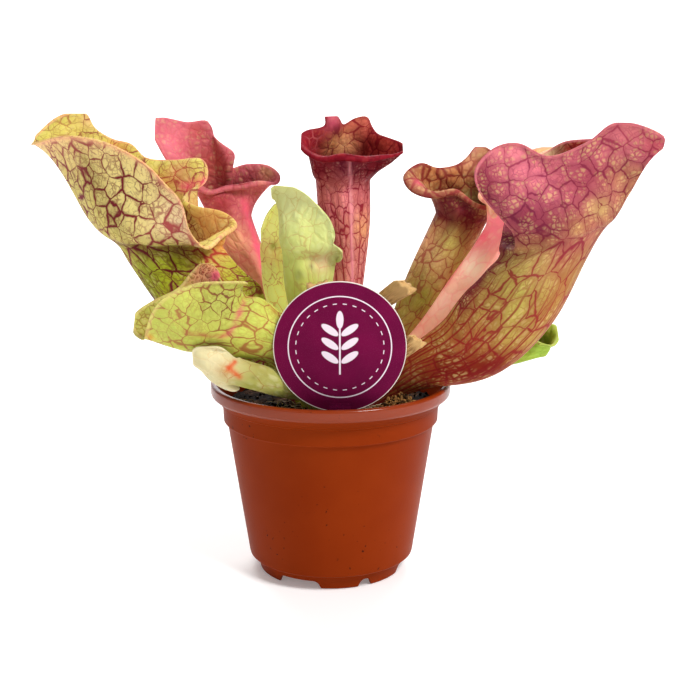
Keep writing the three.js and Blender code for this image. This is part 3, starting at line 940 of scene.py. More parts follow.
LEAVES = (
    Pitcher(
        node="pitcher_left_large", slot="leaf_pale_net",
        form=LeafForm(
            spine=((-14, -3, 80, 3, 3), (-20, -3, 97, 5, 5), (-37, -1, 115, 11.5, 12),
            (-61, 2, 137, 19, 22), (-84, 5, 166, 20, 24)),
            edge=((0, -46, 2, 175, -50), (14, -52, -6, 171, -40), (36, -59, -24, 167, 10),
            (50, -66, -30, 176, 40), (62, -69, -31, 189, 60), (76, -76, -30, 197, 60),
            (98, -86, -28, 207, 60), (118, -102, -22, 215, 60), (138, -119, -12, 218, 60),
            (150, -132, -1, 217, 45), (162, -150, 26, 212, 20), (180, -147, 37, 218, 35),
            (198, -138, 40, 225, 60), (214, -126, 41, 227, 60), (228, -121, 40, 219, 55),
            (244, -111, 39, 213, 50), (256, -102, 38, 211, 50), (268, -95, 37, 204, 40),
            (284, -79, 34, 203, 25), (296, -65, 31, 204, 0), (306, -63, 27, 194, -30),
            (316, -71, 21, 188, -50), (326, -73, 15, 185, -10), (338, -65, 10, 182, -20),
            (350, -53, 6, 180, -35)),
            front=(1, -0.2, 0), mouth=(0.05, 0, 1), turn=Turn.CLOCKWISE, ridge=8, flare=1,
            stretch=1.25, roll=Roll(350, 30, 0.7), swells=(bulge(3, -1.4, (-104.5, 3, 163.5),
            (-90, -14, 165.5), (-76, -14.5, 164.5), (-63, -8.5, 163)),
            bulge(7, 1.2, (-101.5, -14.5, 173.5), (-88.5, -20, 173.5), (-76, -21.5, 173),
            (-68.5, 20.5, 166.5)))),
        outer=Skin(
            bands=((0, OLIVE, MAROON), (0.5, 0x8A8E1E, MAROON), (0.85, 0xBABC30, MAROON),
            (1.1, 0xCCC060, MAROON), (1.6, 0xE0CE7A, MAROON), (2, 0xEECE8E, 0xAA5A50)),
            rim=0xEEB088, rim_width=3.5, fleck=0xEEDE96, depth=0.7, strength=1, vein=1.6,
            mesh_size=2.6, mesh=0.55,
            tints=(patch(17, 0xFADCB2, 0xC4625C, 0.92, (-71.5, -26.5, 180)),
            patch(7, 0xF0C490, 0xD47860, 0.85, (-138, 36.5, 216), (-125, 37.5, 216.5),
            (-113.5, 39.5, 214)), patch(6, 0xEEBE8C, 0xC86E5A, 0.7, (-108.5, 38.5, 212.5),
            (-98.5, 37, 206.5), (-88.5, 33.5, 200.5), (-79, 28.5, 194)),
            # Painted shade: a darker strip down the hood's left margin, where it turns away from
            # the light.
            patch(4, 0xA08C42, 0x6E2E28, 0.75, (-117, -9.5, 207.5), (-112, -11, 198),
            (-107, -13.5, 189), (-102.5, -15.5, 180), (-98, -15, 170.5)),
            patch(11, 0x788016, 0x4E1416, 0.8, (-87, -13, 154.5), (-87, 2, 137)),
            patch(11, 0xBECE22, 0x601C1A, 0.85, (-76, -16, 158)),
            patch(22, 0xF4E292, 0x701C28, 0.85, (-95, -20.5, 194)),
            # Painted shade along the crease under the hood's overhanging lobe.
            patch(3, 0x705422, 0x541C1E, 0.8, (-105.5, -2, 167), (-94.5, -12.5, 166),
            (-83.5, -15, 165.5), (-73, -14, 164.5), (-63, -8.5, 163)),
            patch(5, 0xE4B06C, 0xD8965A, 0.95, (-67.5, 20, 183), (-64, 16.5, 167)),
            patch(5, 0xE2A660, 0xCD8246, 0.95, (-54.5, 5.5, 179.5), (-46, 2, 175)),
            patch(5, 0xE89654, 0xCD3C28, 0.95, (-59.5, -14, 168), (-53, -2, 165)),
            patch(8, 0xD6BE60, 0xB0462C, 0.7, (-56, -7, 158)),
            patch(8, 0xCED060, 0x966432, 0.9, (-31, -3, 136.5)),
            patch(9, 0xB2B83C, 0xA0562C, 0.7, (-47.5, -11.5, 144.5)))),
        inner=Skin(
            bands=((0, OLIVE, DARK_RED), (1, 0xBB9959, DARK_RED), (2, 0xCDC35F, MAROON)),
            # A stronger painted glow lightens the inside of the cup, which lies in shade under the
            # hood.
            rim=0xF0B487, cell_size=7, vein=0.8, fleck_mask_and_painted_glow=0.28,
            tints=(patch(9, 0xE0D46E, 0xBE8C50, 0.8, (-135.5, 38, 218.5)),
            patch(5, 0xD8AA78, 0x96503C, 0.7, (-123.5, 40.5, 223.5)),
            patch(6, 0xD6A056, 0xAA4632, 0.8, (-109, 38, 211), (-91, -26, 209.5),
            (-83.5, -28, 203.5), (-84.5, 30, 191.5)),
            patch(6, 0xD4A06E, 0xB4463C, 0.9, (-76.5, 28.5, 198)),
            patch(3, 0xE85C78, 0xDC5064, 0.95, (-73.5, 26.5, 191), (-63.5, 26, 193)),
            patch(3, 0x5A1418, 0x501014, 0.9, (-74.5, 27, 178), (-67, -28.5, 175.5)),
            patch(13, 0xDEA864, 0xC47C48, 0.96, (-59.5, 7, 175.5))))),
    Pitcher(
        node="pitcher_right_large", slot="leaf_mauve_net",
        form=LeafForm(
            spine=((14, -8, 80, 3, 3), (28, -10, 94, 6, 6), (46, -13, 107, 12, 11.5),
            (70, -16, 119, 17, 18.8), (88, -18, 138, 19, 21), (100, -20, 159, 19, 22),
            (108, -21, 172, 19, 25)),
            edge=((0, 87, -8, 174, -20), (20, 92, -27, 170, -10), (36, 78, -37, 185, 30),
            (50, 69, -42, 196, 50), (66, 67, -45, 206, 60), (84, 75, -44, 215, 65),
            (102, 86, -43, 217, 65), (122, 100, -42, 211, 65), (142, 118, -42, 218, 60),
            (156, 128, -42, 226, 55), (165, 137, -43, 226, 45), (173, 146, -44, 223, 40),
            (179, 151, -44, 220, 30), (185, 153, -42, 216, 30), (191, 151, -38, 215, 40),
            (203, 140, -24, 220, 45), (218, 127, -12, 217, 60), (240, 113, -4, 215, 60),
            (262, 104, 1, 209, 55), (290, 93, 1, 203, 40), (320, 85, -1, 192, 0),
            (342, 83, -3, 183, -30)),
            front=(-1, 0, 0), mouth=(-0.3, 0, 1), turn=Turn.ANTICLOCKWISE, ridge=3, flare=0.9,
            stretch=1.5, roll=Roll(0, 30, 0.5), swells=(bulge(3, -1.2, (86.5, -38, 175),
            (96, -41.5, 173), (106.5, -40, 170.5)),)),
        outer=Skin(
            bands=((0, 0x781E18, DARK_RED), (0.4, 0xB68240, 0x962222), (0.8, 0xB69654, 0x841E28),
            (1.15, 0xB06856, 0x6E2030), (1.5, 0xBE626E, 0x742238), (2, 0xBC5E6C, 0x7A263C)),
            rim=0xE1828C, fleck=0xE0C482, flecks=0.5, halo=0.42, strength=0.92, vein=1.2,
            mesh_size=2.3, mesh=0.45, stripes=24, stripe_vein=0.8,
            tints=(patch(11, 0x923648, 0x621C30, 0.9, (70.5, -44, 199.5)),
            patch(9, 0xE68690, 0xB0425A, 0.85, (83, -43, 214.5)),
            patch(13, 0xE47C8C, 0x862C48, 0.8, (92.5, -43, 201)),
            patch(10, 0x92364C, 0x6E223C, 0.85, (90.5, -45.5, 184)),
            patch(9, 0x8C3C4A, 0x6C1E36, 0.85, (103.5, -45.5, 181)),
            patch(10, 0xEC8A92, 0xB4465A, 0.85, (136, -41.5, 222.5)),
            patch(6, 0xCE5A68, 0x963244, 0.8, (148, -41.5, 216.5)),
            patch(6, 0xE2D278, 0x7C1E30, 0.8, (124.5, -37.5, 188.5)),
            patch(6, 0xB27854, 0x6E182C, 0.8, (143.5, -31.5, 202), (139, -27, 191.5),
            (133.5, -26.5, 181), (126.5, -24.5, 171), (121, -22.5, 159.5), (116.5, -23, 149.5)),
            patch(13, 0xAC505E, 0x76243A, 0.85, (118.5, -38, 200.5)),
            patch(9, 0xAC5C4C, 0x801C2C, 0.8, (108, -38.5, 162)),
            patch(8, 0xB8805A, 0x782036, 0.8, (134, -33, 201)),
            patch(6, 0xC4A05C, 0x7C2232, 0.75, (114, -42.5, 177.5)),
            # Dark purple at the neck: partly its own colour, partly painted shade under the hood.
            patch(8, 0x6E2C3C, 0x501628, 0.97, (85, -20, 169.5)),
            patch(7, 0xB66260, 0x8C2C3C, 0.7, (106.5, -40, 170.5), (121, -36.5, 174.5)),
            patch(12, 0xBEB658, 0x86202A, 0.9, (86.5, -36.5, 151.5)),
            patch(9, 0xCCB068, 0x962E36, 0.7, (98, -39, 160)),
            patch(12, 0xBAAC54, 0x821E26, 0.8, (86, -36.5, 132.5)),
            # Dark wine down the tube's left edge: partly its own colour, partly painted shade
            # beside the pink leaf.
            patch(5, 0x822632, 0x6E1A28, 0.9, (81, -18.5, 168), (76.5, -19, 158),
            (70, -19.5, 149.5), (64, -22.5, 141)),
            patch(11, 0x802C16, 0x741414, 0.94, (52, -27, 106.5), (62, -29, 108), (71.5, -30, 109),
            (81.5, -27.5, 109.5)), patch(7, 0xA4643A, 0x8C2220, 0.7, (63, -31, 124)),
            patch(7, 0xB08A48, 0x921C2A, 0.85, (111, -33.5, 151.5), (106.5, -32.5, 141.5),
            (102, -30.5, 131.5)))),
        inner=Skin(
            bands=((0, DARK_RED, DARK_RED), (1, 0x6E141A, DARK_RED), (2, 0x962D32, 0x5A0E16)),
            rim=0xE1828C,
            # The first tint, dark purple at the neck, is partly its own colour and partly painted
            # shade under the hood.
            tints=(patch(9, 0x602434, 0x501628, 0.97, (86, -18.5, 170)),
            patch(10, 0x9C2C26, 0x600A12, 0.9, (118.5, -8, 213)),
            patch(7, 0xF4D4A6, 0xDCA078, 0.95, (104, 1, 209))))),
    Pitcher(
        node="pitcher_left_low", slot="leaf_lime_net", fineness=MEDIUM,
        form=LeafForm(
            spine=((-10, -12, 80, 2.8, 2.8), (-14, -20, 100, 4, 4), (-24, -32, 122, 8.5, 11),
            (-38, -38, 131, 12.5, 15.5), (-50, -41, 134, 14, 16.5)),
            edge=((0, -40, -38, 152, 20), (24, -39, -50, 155, 40), (44, -48, -56, 156, 55),
            (66, -58, -59, 156, 60), (84, -67, -60, 153, 60), (102, -75, -59, 148, 60),
            (120, -80, -56, 141, 60), (136, -83, -52, 133, 50), (152, -85, -47, 128, 20),
            (168, -90, -41, 129, 20), (182, -92, -36, 132, 30), (198, -91, -31, 137, 40),
            (216, -83, -27, 142, 50), (236, -72, -23, 147, 60), (256, -66, -20, 154, 50),
            (280, -60, -19, 159, 30), (306, -54, -21, 156, 10), (332, -51, -28, 151, 0)),
            front=(1, 0, 0.4), mouth=(-0.75, 0, 0.65), turn=Turn.CLOCKWISE, ridge=1, flare=0.5,
            stretch=1.5, roll=Roll(290, 40, 0.3), swells=(bulge(2, -0.9, (-38, -44.5, 146),
            (-47, -53.5, 132)), bulge(8, 0.8, (-32.5, -49, 136.5), (-31, -48.5, 132.5)),
            bulge(10, 0.8, (-51.5, -57, 140), (-58.5, -58, 137)))),
        outer=Skin(
            bands=((0, OLIVE, MAROON), (0.6, 0xCDD262, 0xA06038), (1.2, 0xBEC454, 0x965438),
            (2, 0xCCD064, 0xA05A40)), rim=0xE1CD82, rim_width=1.6, fleck=0xD6DE78, cell_size=6.5,
            vein=0.85, mesh_size=2.6, mesh=0.3,
            tints=(patch(14, 0xCED668, 0xB0784C, 0.85, (-73, -56.5, 136.5)),
            patch(12, 0xB0B256, 0x641E26, 0.95, (-48.5, -55, 146.5)),
            patch(8, 0xC8CE60, 0xAA643C, 0.8, (-31, -48.5, 135)),
            # Painted shade: dark olive on the lower right of the tube.
            patch(8, 0x747C1E, 0x644A22, 0.85, (-37, -37, 116)),
            patch(5, 0x787A1E, 0x6E4622, 0.6, (-25, -45, 129.5)),
            patch(1.2, 0xCE6864, 0xC45A5A, 0.95, (-39, -45, 146), (-41, -51.5, 141),
            (-45, -53.5, 132.5)), patch(1.2, 0xC86E5A, 0xBA5A50, 0.9, (-45, -53.5, 132.5),
            (-49, -53.5, 130.5)), patch(1.2, 0xB86E46, 0xAA5A46, 0.8, (-49, -53.5, 130.5),
            (-57, -57, 132.5), (-65, -57.5, 133.5)),
            patch(1.3, 0xB25C30, 0x964228, 0.8, (-37.5, -40, 147), (-24.5, -41.5, 139)),
            patch(2, 0xE2AA60, 0xCD8C50, 0.9, (-91, -31, 137), (-84, -27.5, 141.5),
            (-75.5, -24.5, 145), (-66.5, -21.5, 151)),
            patch(2, 0xE48C32, 0xD27832, 0.8, (-82.5, -50, 129.5)),
            patch(5, 0x961E2E, 0xE8AA7C, 0.92, (-61, -21, 155.5)),
            patch(2.5, 0xE4547A, 0xE4547A, 0.9, (-54.5, -24, 153.5)))),
        inner=Skin(
            bands=((0, OLIVE, MAROON), (1, 0xAA3C32, DARK_RED), (2, 0xBEC35A, 0x96783C)),
            rim=0xE1CD82, cell_size=3.2, vein=0.7,
            tints=(patch(10, 0x961E2E, 0xE8AA7C, 0.96, (-60.5, -21.5, 155)),
            patch(3, 0xE4547A, 0xE4547A, 0.9, (-54, -24.5, 153.5)),
            patch(10, 0xBEC456, 0xA08242, 0.8, (-81.5, -54, 136))))),
    Pitcher(
        node="pitcher_left_rim", slot="leaf_cream", fineness=SLIGHT,
        form=LeafForm(
            spine=((-3, -17, 80, 2.6, 2.6), (-11, -27, 96, 4, 4), (-22, -38.5, 104, 5.6, 6.4),
            (-33, -45, 109, 6, 6.3), (-43, -49, 113, 6, 6.2)),
            edge=((0, -45, -45, 117, -10), (30, -47, -54, 124, 20), (60, -54, -57, 127, 40),
            (88, -60, -58, 126, 50), (112, -62, -57, 123, 50), (134, -62, -55, 118, 40),
            (154, -58, -52, 114, 20), (172, -55, -49, 109, 20), (188, -50, -47, 105, 10),
            (202, -45, -46, 103, 0), (222, -42, -44, 104, 0), (250, -47, -38, 107, 10),
            (286, -55, -35, 110, 10), (324, -50, -39, 115, 0)),
            front=(1, 0, 0.6), mouth=(-1, 0, 0.35), turn=Turn.CLOCKWISE, ridge=0.5, flare=0.4),
        outer=Skin(
            bands=((0, OLIVE, MAROON), (0.5, 0xA0A550, 0x965A32), (1, 0xBEB678, 0xAA6E46),
            (1.4, 0xD3C89A, 0xBEA06E), (2, 0xD8CEA5, 0xC8B482)), rim=0xE1D7B4, rim_width=1,
            fleck=0xE1DAB4, vein=0.35, mesh=0.12,
            tints=(patch(9, 0xEEE0B2, 0xE0C896, 0.9, (-55, -57.5, 120.5)),
            patch(4, 0xC49254, 0xBE783C, 0.8, (-47, -57, 115.5)),
            patch(1.2, 0xCE542C, 0xC84628, 0.95, (-43, -53.5, 119), (-46, -56.5, 116.5),
            (-41, -54, 111.5)), patch(7, 0xA89E54, 0x8C783C, 0.85, (-31, -48, 114.5)),
            # Painted shade: dark olive on the belly, where the leaf above casts its shadow.
            patch(6, 0x96963E, 0x828234, 0.8, (-37, -50, 105.5)),
            patch(0.9, 0x3C321A, 0x3C321A, 0.9, (-30.5, -50, 112)),
            patch(0.9, 0x3C321A, 0x3C321A, 0.9, (-34, -52, 110.5)))),
        inner=Skin(
            bands=((0, OLIVE, MAROON), (1, 0x8A8238, 0x785A32), (2, 0xBEB678, 0xAA965A)),
            rim=0xE1D7B4, vein=0.35, mesh=0.12,
            tints=(patch(8, 0xC6BE76, 0xB0A060, 0.9, (-50, -49.5, 107)),))),
    Pitcher(
        node="pitcher_back_left", slot="leaf_rose", fineness=MEDIUM,
        form=LeafForm(
            spine=((-8, 12, 80, 2.8, 2.8), (-16, 17, 103, 3.6, 3.6), (-28, 22, 124, 4.5, 4.5),
            (-37, 32, 142, 7, 6), (-47, 41, 159, 10.5, 9.5), (-53, 47, 174, 11, 11)),
            edge=((0, -54, 37, 189, -40), (26, -45, 36, 190, -50), (50, -36, 38, 192, -10),
            (72, -29, 43, 191, 30), (90, -28, 47, 195, 40), (108, -34, 51, 199, 45),
            (132, -45, 56, 199, 45), (152, -53, 58, 197, 45), (168, -51, 53, 205, 45),
            (184, -58, 50, 211, 50), (194, -63, 52, 217, 50), (202, -64, 53, 222, 45),
            (216, -74, 52, 221, 50), (232, -83, 49, 223, 50), (248, -90, 43, 224, 45),
            (262, -91, 39, 218, 35), (278, -87, 37, 210, 15), (296, -82, 36, 202, -10),
            (320, -72, 36, 192, -30), (342, -63, 36, 187, -40)),
            front=(0.3, -1, 0), mouth=(0.1, -0.3, 1), turn=Turn.ANTICLOCKWISE, ridge=3, flare=0.4,
            roll=Roll(30, 60, 0.7)),
        outer=Skin(
            bands=((0, OLIVE, MAROON), (0.5, 0xD79678, 0xCD6E64), (1, 0xC86469, 0xAA3246),
            (2, 0xE17E84, 0xC85A69)), rim=0xE17882, fleck=0xE1A082, halo=0.25, strength=0.6,
            cell_size=4.5, vein=0.6, mesh_size=2.2, mesh=0.2,
            tints=(patch(12, 0xF07C8A, 0xE2687A, 0.95, (-80.5, 46, 210.5)),
            patch(10, 0xC46258, 0xAC4248, 0.8, (-62.5, 55, 199.5)),
            patch(8, 0xB03E46, 0x962838, 0.85, (-56, 37, 182)),
            patch(8, 0xEEB082, 0xD8706A, 0.85, (-50, 33, 163)),
            patch(2.6, 0xF2647C, 0xEC5A74, 0.95, (-44.5, 40.5, 181.5), (-41.5, 43, 169.5),
            (-38, 35.5, 158.5), (-34.5, 29.5, 148), (-31, 23.5, 137.5)),
            patch(5, 0xDC9674, 0xCE6E68, 0.7, (-41.5, 27.5, 143)))),
        inner=Skin(
            bands=((0, DARK_RED, DARK_RED), (1, 0x7C1F13, DARK_RED), (2, 0xCD6976, 0x962837)),
            rim=0xE17882, strength=0.45, cell_size=4.5, mesh=0.25,
            tints=(patch(15, 0xF0808E, 0xE46C7E, 0.95, (-82, 44, 210.5)),
            patch(10, 0xCC685C, 0xB04248, 0.8, (-62.5, 55, 199.5)),
            patch(5, 0xCE6062, 0xAA3C46, 0.9, (-70.5, 52, 217.5)),
            patch(8, 0xA03638, 0x821C26, 0.9, (-42.5, 37, 191)),
            patch(5, 0xBE8E68, 0x965A46, 0.8, (-33, 49.5, 196)),
            patch(2, 0xE8A076, 0xDC8C6E, 0.9, (-35.5, 38.5, 192))))),
    Pitcher(
        node="pitcher_middle_green", slot="leaf_lime_pale", fineness=MEDIUM,
        form=LeafForm(
            spine=((-4, -6, 80, 2.8, 2.8), (-7, -10, 104, 4, 4), (-10, -14, 125, 6, 7),
            (-11, -17, 145, 10, 10.5), (-11, -18, 162, 11, 12.3)),
            edge=((0, 3, -17, 160, -30), (20, 6, -27, 166, -30), (40, 2, -32, 171, 20),
            (58, 3, -35, 175, 50), (76, 0, -34, 182, 70), (94, -5, -31, 187, 75),
            (114, -12, -27, 193, 75), (138, -20, -21, 196, 70), (160, -26, -16, 195, 60),
            (180, -28, -12, 191, 45), (204, -25, -7, 187, 40), (236, -19, -3, 184, 40),
            (270, -13, -2, 177, 30), (302, -6, -4, 169, 10), (332, -1, -9, 164, -20)),
            front=(1, 0, 0), mouth=(0.3, 0, 1), turn=Turn.CLOCKWISE, ridge=2, flare=0.35,
            stretch=1.8, swells=(bulge(2.6, -1.3, (-19.5, -25, 162), (-8, -29.5, 163),
            (3, -22, 162)), bulge(8, 1.2, (-13.5, -29.5, 173.5), (-2, -32.5, 173)))),
        outer=Skin(
            bands=((0, 0x96A546, 0xA0783C), (0.5, 0xCDD482, 0xB9AA5A), (1, 0xD0DA7A, 0xC4B060),
            (2, 0xE0E6A0, 0xBEBE6E)), rim=0xE1E4A0, rim_width=1.2, fleck=0xE4E9AA, depth=0.5,
            strength=0.65, cell_size=6, vein=0.45, mesh=0.2,
            tints=(patch(12, 0xE6EAA8, 0xD4C478, 0.9, (-16, -24, 187.5)),
            patch(12, 0xDAE288, 0xC8AA64, 0.8, (-11.5, -30, 174)),
            patch(6, 0xECCAA0, 0xE2987E, 0.9, (-3.5, -26.5, 160)),
            patch(12, 0xDAE46E, 0xC4B05A, 0.85, (-13, -27, 146.5)),
            patch(0.9, 0x5A3C32, 0x5A3C32, 0.9, (-8.5, -28.5, 159.5)),
            patch(1.6, 0x8C8C46, 0x828242, 0.8, (-14.5, -28, 155)),
            patch(4, 0xB0BE50, 0xA0A046, 0.7, (-20.5, -16, 140)))),
        inner=Skin(
            bands=((0, OLIVE, OLIVE), (1, 0xC4AF78, 0xAA6E50), (2, 0xC8CD82, 0xAA9650)),
            rim=0xE1E4A0, vein=0.4, mesh=0.2,
            tints=(patch(4, 0xE2D692, 0xC8AA64, 0.8, (4, -26.5, 166.5)),))),
    Pitcher(
        node="pitcher_middle_small", slot="leaf_lime_pale", fineness=SLIGHT,
        form=LeafForm(
            spine=((-10, 5, 79, 2.6, 2.6), (-14, 8, 103, 3.2, 3.2), (-22, 8, 121, 4, 4),
            (-27, 6, 140, 6, 6), (-28, 2, 158, 6, 6.5)),
            edge=((0, -24, -4, 162, -50), (40, -22, -8, 166, -20), (70, -22, -9, 174, 40),
            (100, -22, -9, 181, 60), (130, -25, -6, 186, 60), (165, -29, -1, 182, 40),
            (200, -32, 2, 176, 40), (232, -34, 4, 169, 20), (262, -32, 4, 163, -20),
            (310, -29, 2, 162, -50)),
            front=(1, 0, 0), mouth=(0.2, 0, 1), turn=Turn.CLOCKWISE, ridge=0.5, flare=0.4),
        outer=Skin(
            bands=((0, 0x96A546, 0x965A3C), (0.7, 0xC3CD69, 0xA06E3C), (1, 0xC8C36E, 0xA0503C),
            (2, 0xD7DC82, 0xB4AF5A)), rim=0xE0DF96, rim_width=1, fleck=0xE4E696, depth=0.4,
            # A strong painted glow lightens this leaf, which lies in shade between its neighbours.
            strength=0.8, cell_size=5, vein=0.5, mesh=0.2, fleck_mask_and_painted_glow=0.4,
            tints=(patch(7, 0xD6BE6E, 0xBA5442, 0.85, (-28.5, -6, 162.5)),
            patch(2, 0x78781A, 0x6E641A, 0.9, (-27.5, -6.5, 165.5)),
            # Painted light: a pale patch that lightens the tube where it lies in shade between the
            # leaves.
            patch(14, 0xF4FA8C, 0xD6AA60, 0.9, (-27.5, 0.5, 137.5)),
            patch(7, 0xECF08A, 0xCEB060, 0.8, (-28, -4.5, 175.5)))),
        inner=Skin(
            bands=((0, OLIVE, OLIVE), (2, 0xBEC36E, 0x965A3C)), rim=0xE0DF96, vein=0.4, mesh=0.2)),
    Pitcher(
        node="pitcher_back_middle", slot="leaf_wine",
        form=LeafForm(
            spine=((2, 14, 80, 2.8, 2.8), (6, 15, 104, 4.2, 4.2), (8, 16, 124, 6, 6),
            (8, 24, 149, 9.5, 9), (7, 31, 172, 13, 12), (6, 35, 194, 14, 13)),
            edge=((0, 7, 10, 207, -50), (30, 18, 13, 206, -35), (50, 26, 17, 207, 0),
            (66, 32, 22, 207, 45), (80, 37, 26, 209, 60), (96, 35, 31, 212, 50),
            (112, 29, 37, 214, 40), (128, 23, 43, 216, 45), (142, 20, 48, 220, 50),
            (156, 18, 49, 224, 50), (172, 12, 50, 223, 55), (186, 6, 47, 220, 55),
            (198, 3, 42, 225, 45), (210, -2, 38, 226, 40), (224, -3, 38, 220, 45),
            (242, -12, 34, 218, 35), (260, -15, 28, 215, 25), (280, -14, 22, 211, 15),
            (300, -10, 17, 208, -10), (322, -4, 13, 206, -40)),
            front=(0, -1, 0), mouth=(0, -0.2, 1), turn=Turn.ANTICLOCKWISE, ridge=2, flare=0.65,
            stretch=1.7, roll=Roll(0, 90, 0.8)),
        outer=Skin(
            bands=((0, 0x96783C, DARK_RED), (0.5, 0xDB8C7D, 0x962D37), (0.85, 0xCD7373, 0x821928),
            (1.2, 0x8C2837, 0x5F0C1C), (2, 0x721422, 0x550816)), rim=0x7C1626, fleck=0xE1A096,
            halo=0.35, strength=0.95, cell_size=4.5, vein=0.7, mesh_size=2, mesh=0.4, stripes=14,
            # A stronger painted glow lightens this leaf.
            fleck_mask_and_painted_glow=0.14,
            tints=(patch(9, 0x7C2A3E, 0x661C2E, 0.9, (7, 16, 202)),
            patch(8, 0x821628, 0x640A1C, 0.9, (-6.5, 22.5, 202)),
            patch(10, 0x7A0E1E, 0x5A0816, 0.95, (30, 23.5, 204.5)),
            patch(6, 0x9C4656, 0x782438, 0.7, (-4, 25, 176.5), (-2, 22, 165), (-0.5, 20, 153.5)),
            patch(11, 0xEC8A8A, 0x861C34, 0.85, (4.5, 20, 185)),
            patch(8, 0xF4B07E, 0x8C1E2C, 0.9, (17, 23, 170.5)),
            patch(0.75, 0xE896A0, 0xE48C96, 0.9, (9.5, 15, 205), (10, 21.5, 192.5),
            (10.5, 20.5, 180), (10.5, 18, 167.5), (11, 16, 155.5), (11, 14, 143)),
            patch(5, 0xDC687C, 0xC85068, 0.9, (-0.5, 37.5, 224)),
            patch(4, 0x961E2C, 0x6E0C1C, 0.7, (35, 29, 208)),
            patch(4, 0xD86E76, 0xB43C4C, 0.7, (21, 45, 217)))),
        inner=Skin(
            bands=((0, DARK_RED, DARK_RED), (1, 0x700E18, 0x500610), (2, 0x961E2C, 0x680816)),
            rim=0x7C1626, fleck=0xCE6050, cell_size=7, vein=1.1, mesh=0.4,
            tints=(patch(6, 0xECAA70, 0x963C38, 0.95, (0.5, 43.5, 211)),
            patch(6, 0xF0B47E, 0x963C38, 0.95, (7.5, 48, 211.5)),
            patch(8, 0xD6745C, 0x8C1E28, 0.92, (14, 49, 222)),
            patch(10, 0xAA3C30, 0x700814, 0.92, (27.5, 36.5, 212)),
            patch(5, 0xDE6C80, 0xC85468, 0.9, (0.5, 38, 223.5)),
            patch(7, 0x8C1426, 0xC86060, 0.8, (-9.5, 35, 213.5))))),
    Pitcher(
        node="pitcher_back_right", slot="leaf_tan_net",
        form=LeafForm(
            spine=((10, 12, 80, 2.8, 2.8), (19, 13, 102, 4, 4), (33, 14, 117, 6, 6),
            (46, 24, 137, 10, 10), (58, 34, 156, 13, 13), (68, 41, 175, 14, 13)),
            edge=((0, 63, 27, 188, -50), (36, 73, 24, 182, -50), (64, 81, 26, 181, -30),
            (96, 86, 32, 191, 10), (126, 85, 41, 202, 40), (152, 82, 49, 207, 50),
            (172, 76, 52, 209, 50), (188, 71, 52, 203, 50), (204, 65, 50, 199, 50),
            (226, 55, 46, 198, 40), (250, 46, 40, 201, 20), (272, 38, 34, 196, -10),
            (296, 41, 28, 190, -40), (326, 51, 26, 187, -50)),
            front=(-0.3, -1, 0), mouth=(0, -0.3, 1), turn=Turn.ANTICLOCKWISE, ridge=3, flare=0.4,
            roll=Roll(320, 70, 1)),
        outer=Skin(
            bands=((0, OLIVE, MAROON), (0.5, 0xB4A050, 0x8C3C2D), (0.8, 0xBE9664, 0x822828),
            (1.1, 0x82282D, 0x5D0E14), (1.5, 0xB48C5A, 0x782828), (2, 0xD6A082, 0xAA5050)),
            rim=0x7C282E, fleck=0xD7C378, halo=0.3, strength=0.8, cell_size=6, vein=0.9,
            mesh_size=2.4, mesh=0.35,
            tints=(patch(9, 0x8C3642, 0x681A2A, 0.95, (58, 30, 182.5)),
            patch(8, 0x681022, 0x5A0A1C, 0.95, (69.5, 27.5, 177.5)),
            patch(7, 0xDEAA76, 0x9C423E, 0.8, (49, 32.5, 163)),
            patch(8, 0xCCC464, 0x923E34, 0.8, (62, 23.5, 162)),
            patch(6, 0x92A02C, 0x964628, 0.8, (66, 25.5, 149.5)),
            patch(8, 0x96A034, 0x784628, 0.7, (47.5, 14, 135)),
            patch(5, 0xF0968C, 0xDC6868, 0.85, (44.5, 31, 191.5)),
            patch(4, 0x82323C, 0x6E1E2C, 0.8, (61.5, 28.5, 183), (70.5, 27.5, 180)),
            patch(3, 0xF0C496, 0xE2A078, 0.8, (38, 32.5, 194.5)))),
        inner=Skin(
            bands=((0, DARK_RED, DARK_RED), (1, 0x5D0E0E, DARK_RED), (1.5, 0xAA784B, 0x782323),
            (2, 0xCD966E, 0x963C3C)), rim=0x822C30, cell_size=7, vein=2.1, mesh=0.4,
            tints=(patch(2, 0xEC8C8C, 0xE27878, 0.9, (60.5, 48.5, 198), (74.5, 52, 207.5)),
            patch(8, 0xC48050, 0x6E1618, 0.92, (51, 42, 197)),
            patch(9, 0xC48050, 0x6E181A, 0.9, (64.5, 48.5, 196)),
            patch(6, 0xEEB48C, 0xBE6E5A, 0.8, (74.5, 50.5, 202)),
            patch(6, 0xB0AA64, 0x965A46, 0.7, (74, 53.5, 181)),
            patch(3, 0xE86E7C, 0xDC606E, 0.9, (44.5, 32, 191.5))))),
    Pitcher(
        node="pitcher_right_pink", slot="leaf_coral", fineness=MEDIUM,
        form=LeafForm(
            spine=((14, 6, 80, 2.8, 2.8), (27, 7, 99, 3.6, 3.6), (47, 9, 119, 5, 5),
            (62, 13, 136, 7, 7), (75, 17, 154, 8, 8), (87, 21, 173, 9, 9)),
            edge=((0, 78, 9, 185, -50), (36, 81, 7, 179, -40), (70, 90, 9, 191, 20),
            (106, 102, 13, 207, 50), (140, 112, 19, 210, 50), (176, 118, 27, 209, 50),
            (212, 112, 33, 210, 50), (246, 101, 33, 208, 50), (280, 88, 27, 200, 30),
            (310, 78, 19, 192, -10), (336, 74, 13, 188, -40)),
            front=(-1, -0.4, 0), mouth=(-0.2, 0, 1), turn=Turn.ANTICLOCKWISE, ridge=1, flare=0.3,
            stretch=1.7, roll=Roll(0, 50, 1)),
        outer=Skin(
            bands=((0, 0xBE8C5A, MAROON), (0.45, 0xF0BE9B, 0xE18273), (0.75, 0xF9B29C, 0xEB7D7D),
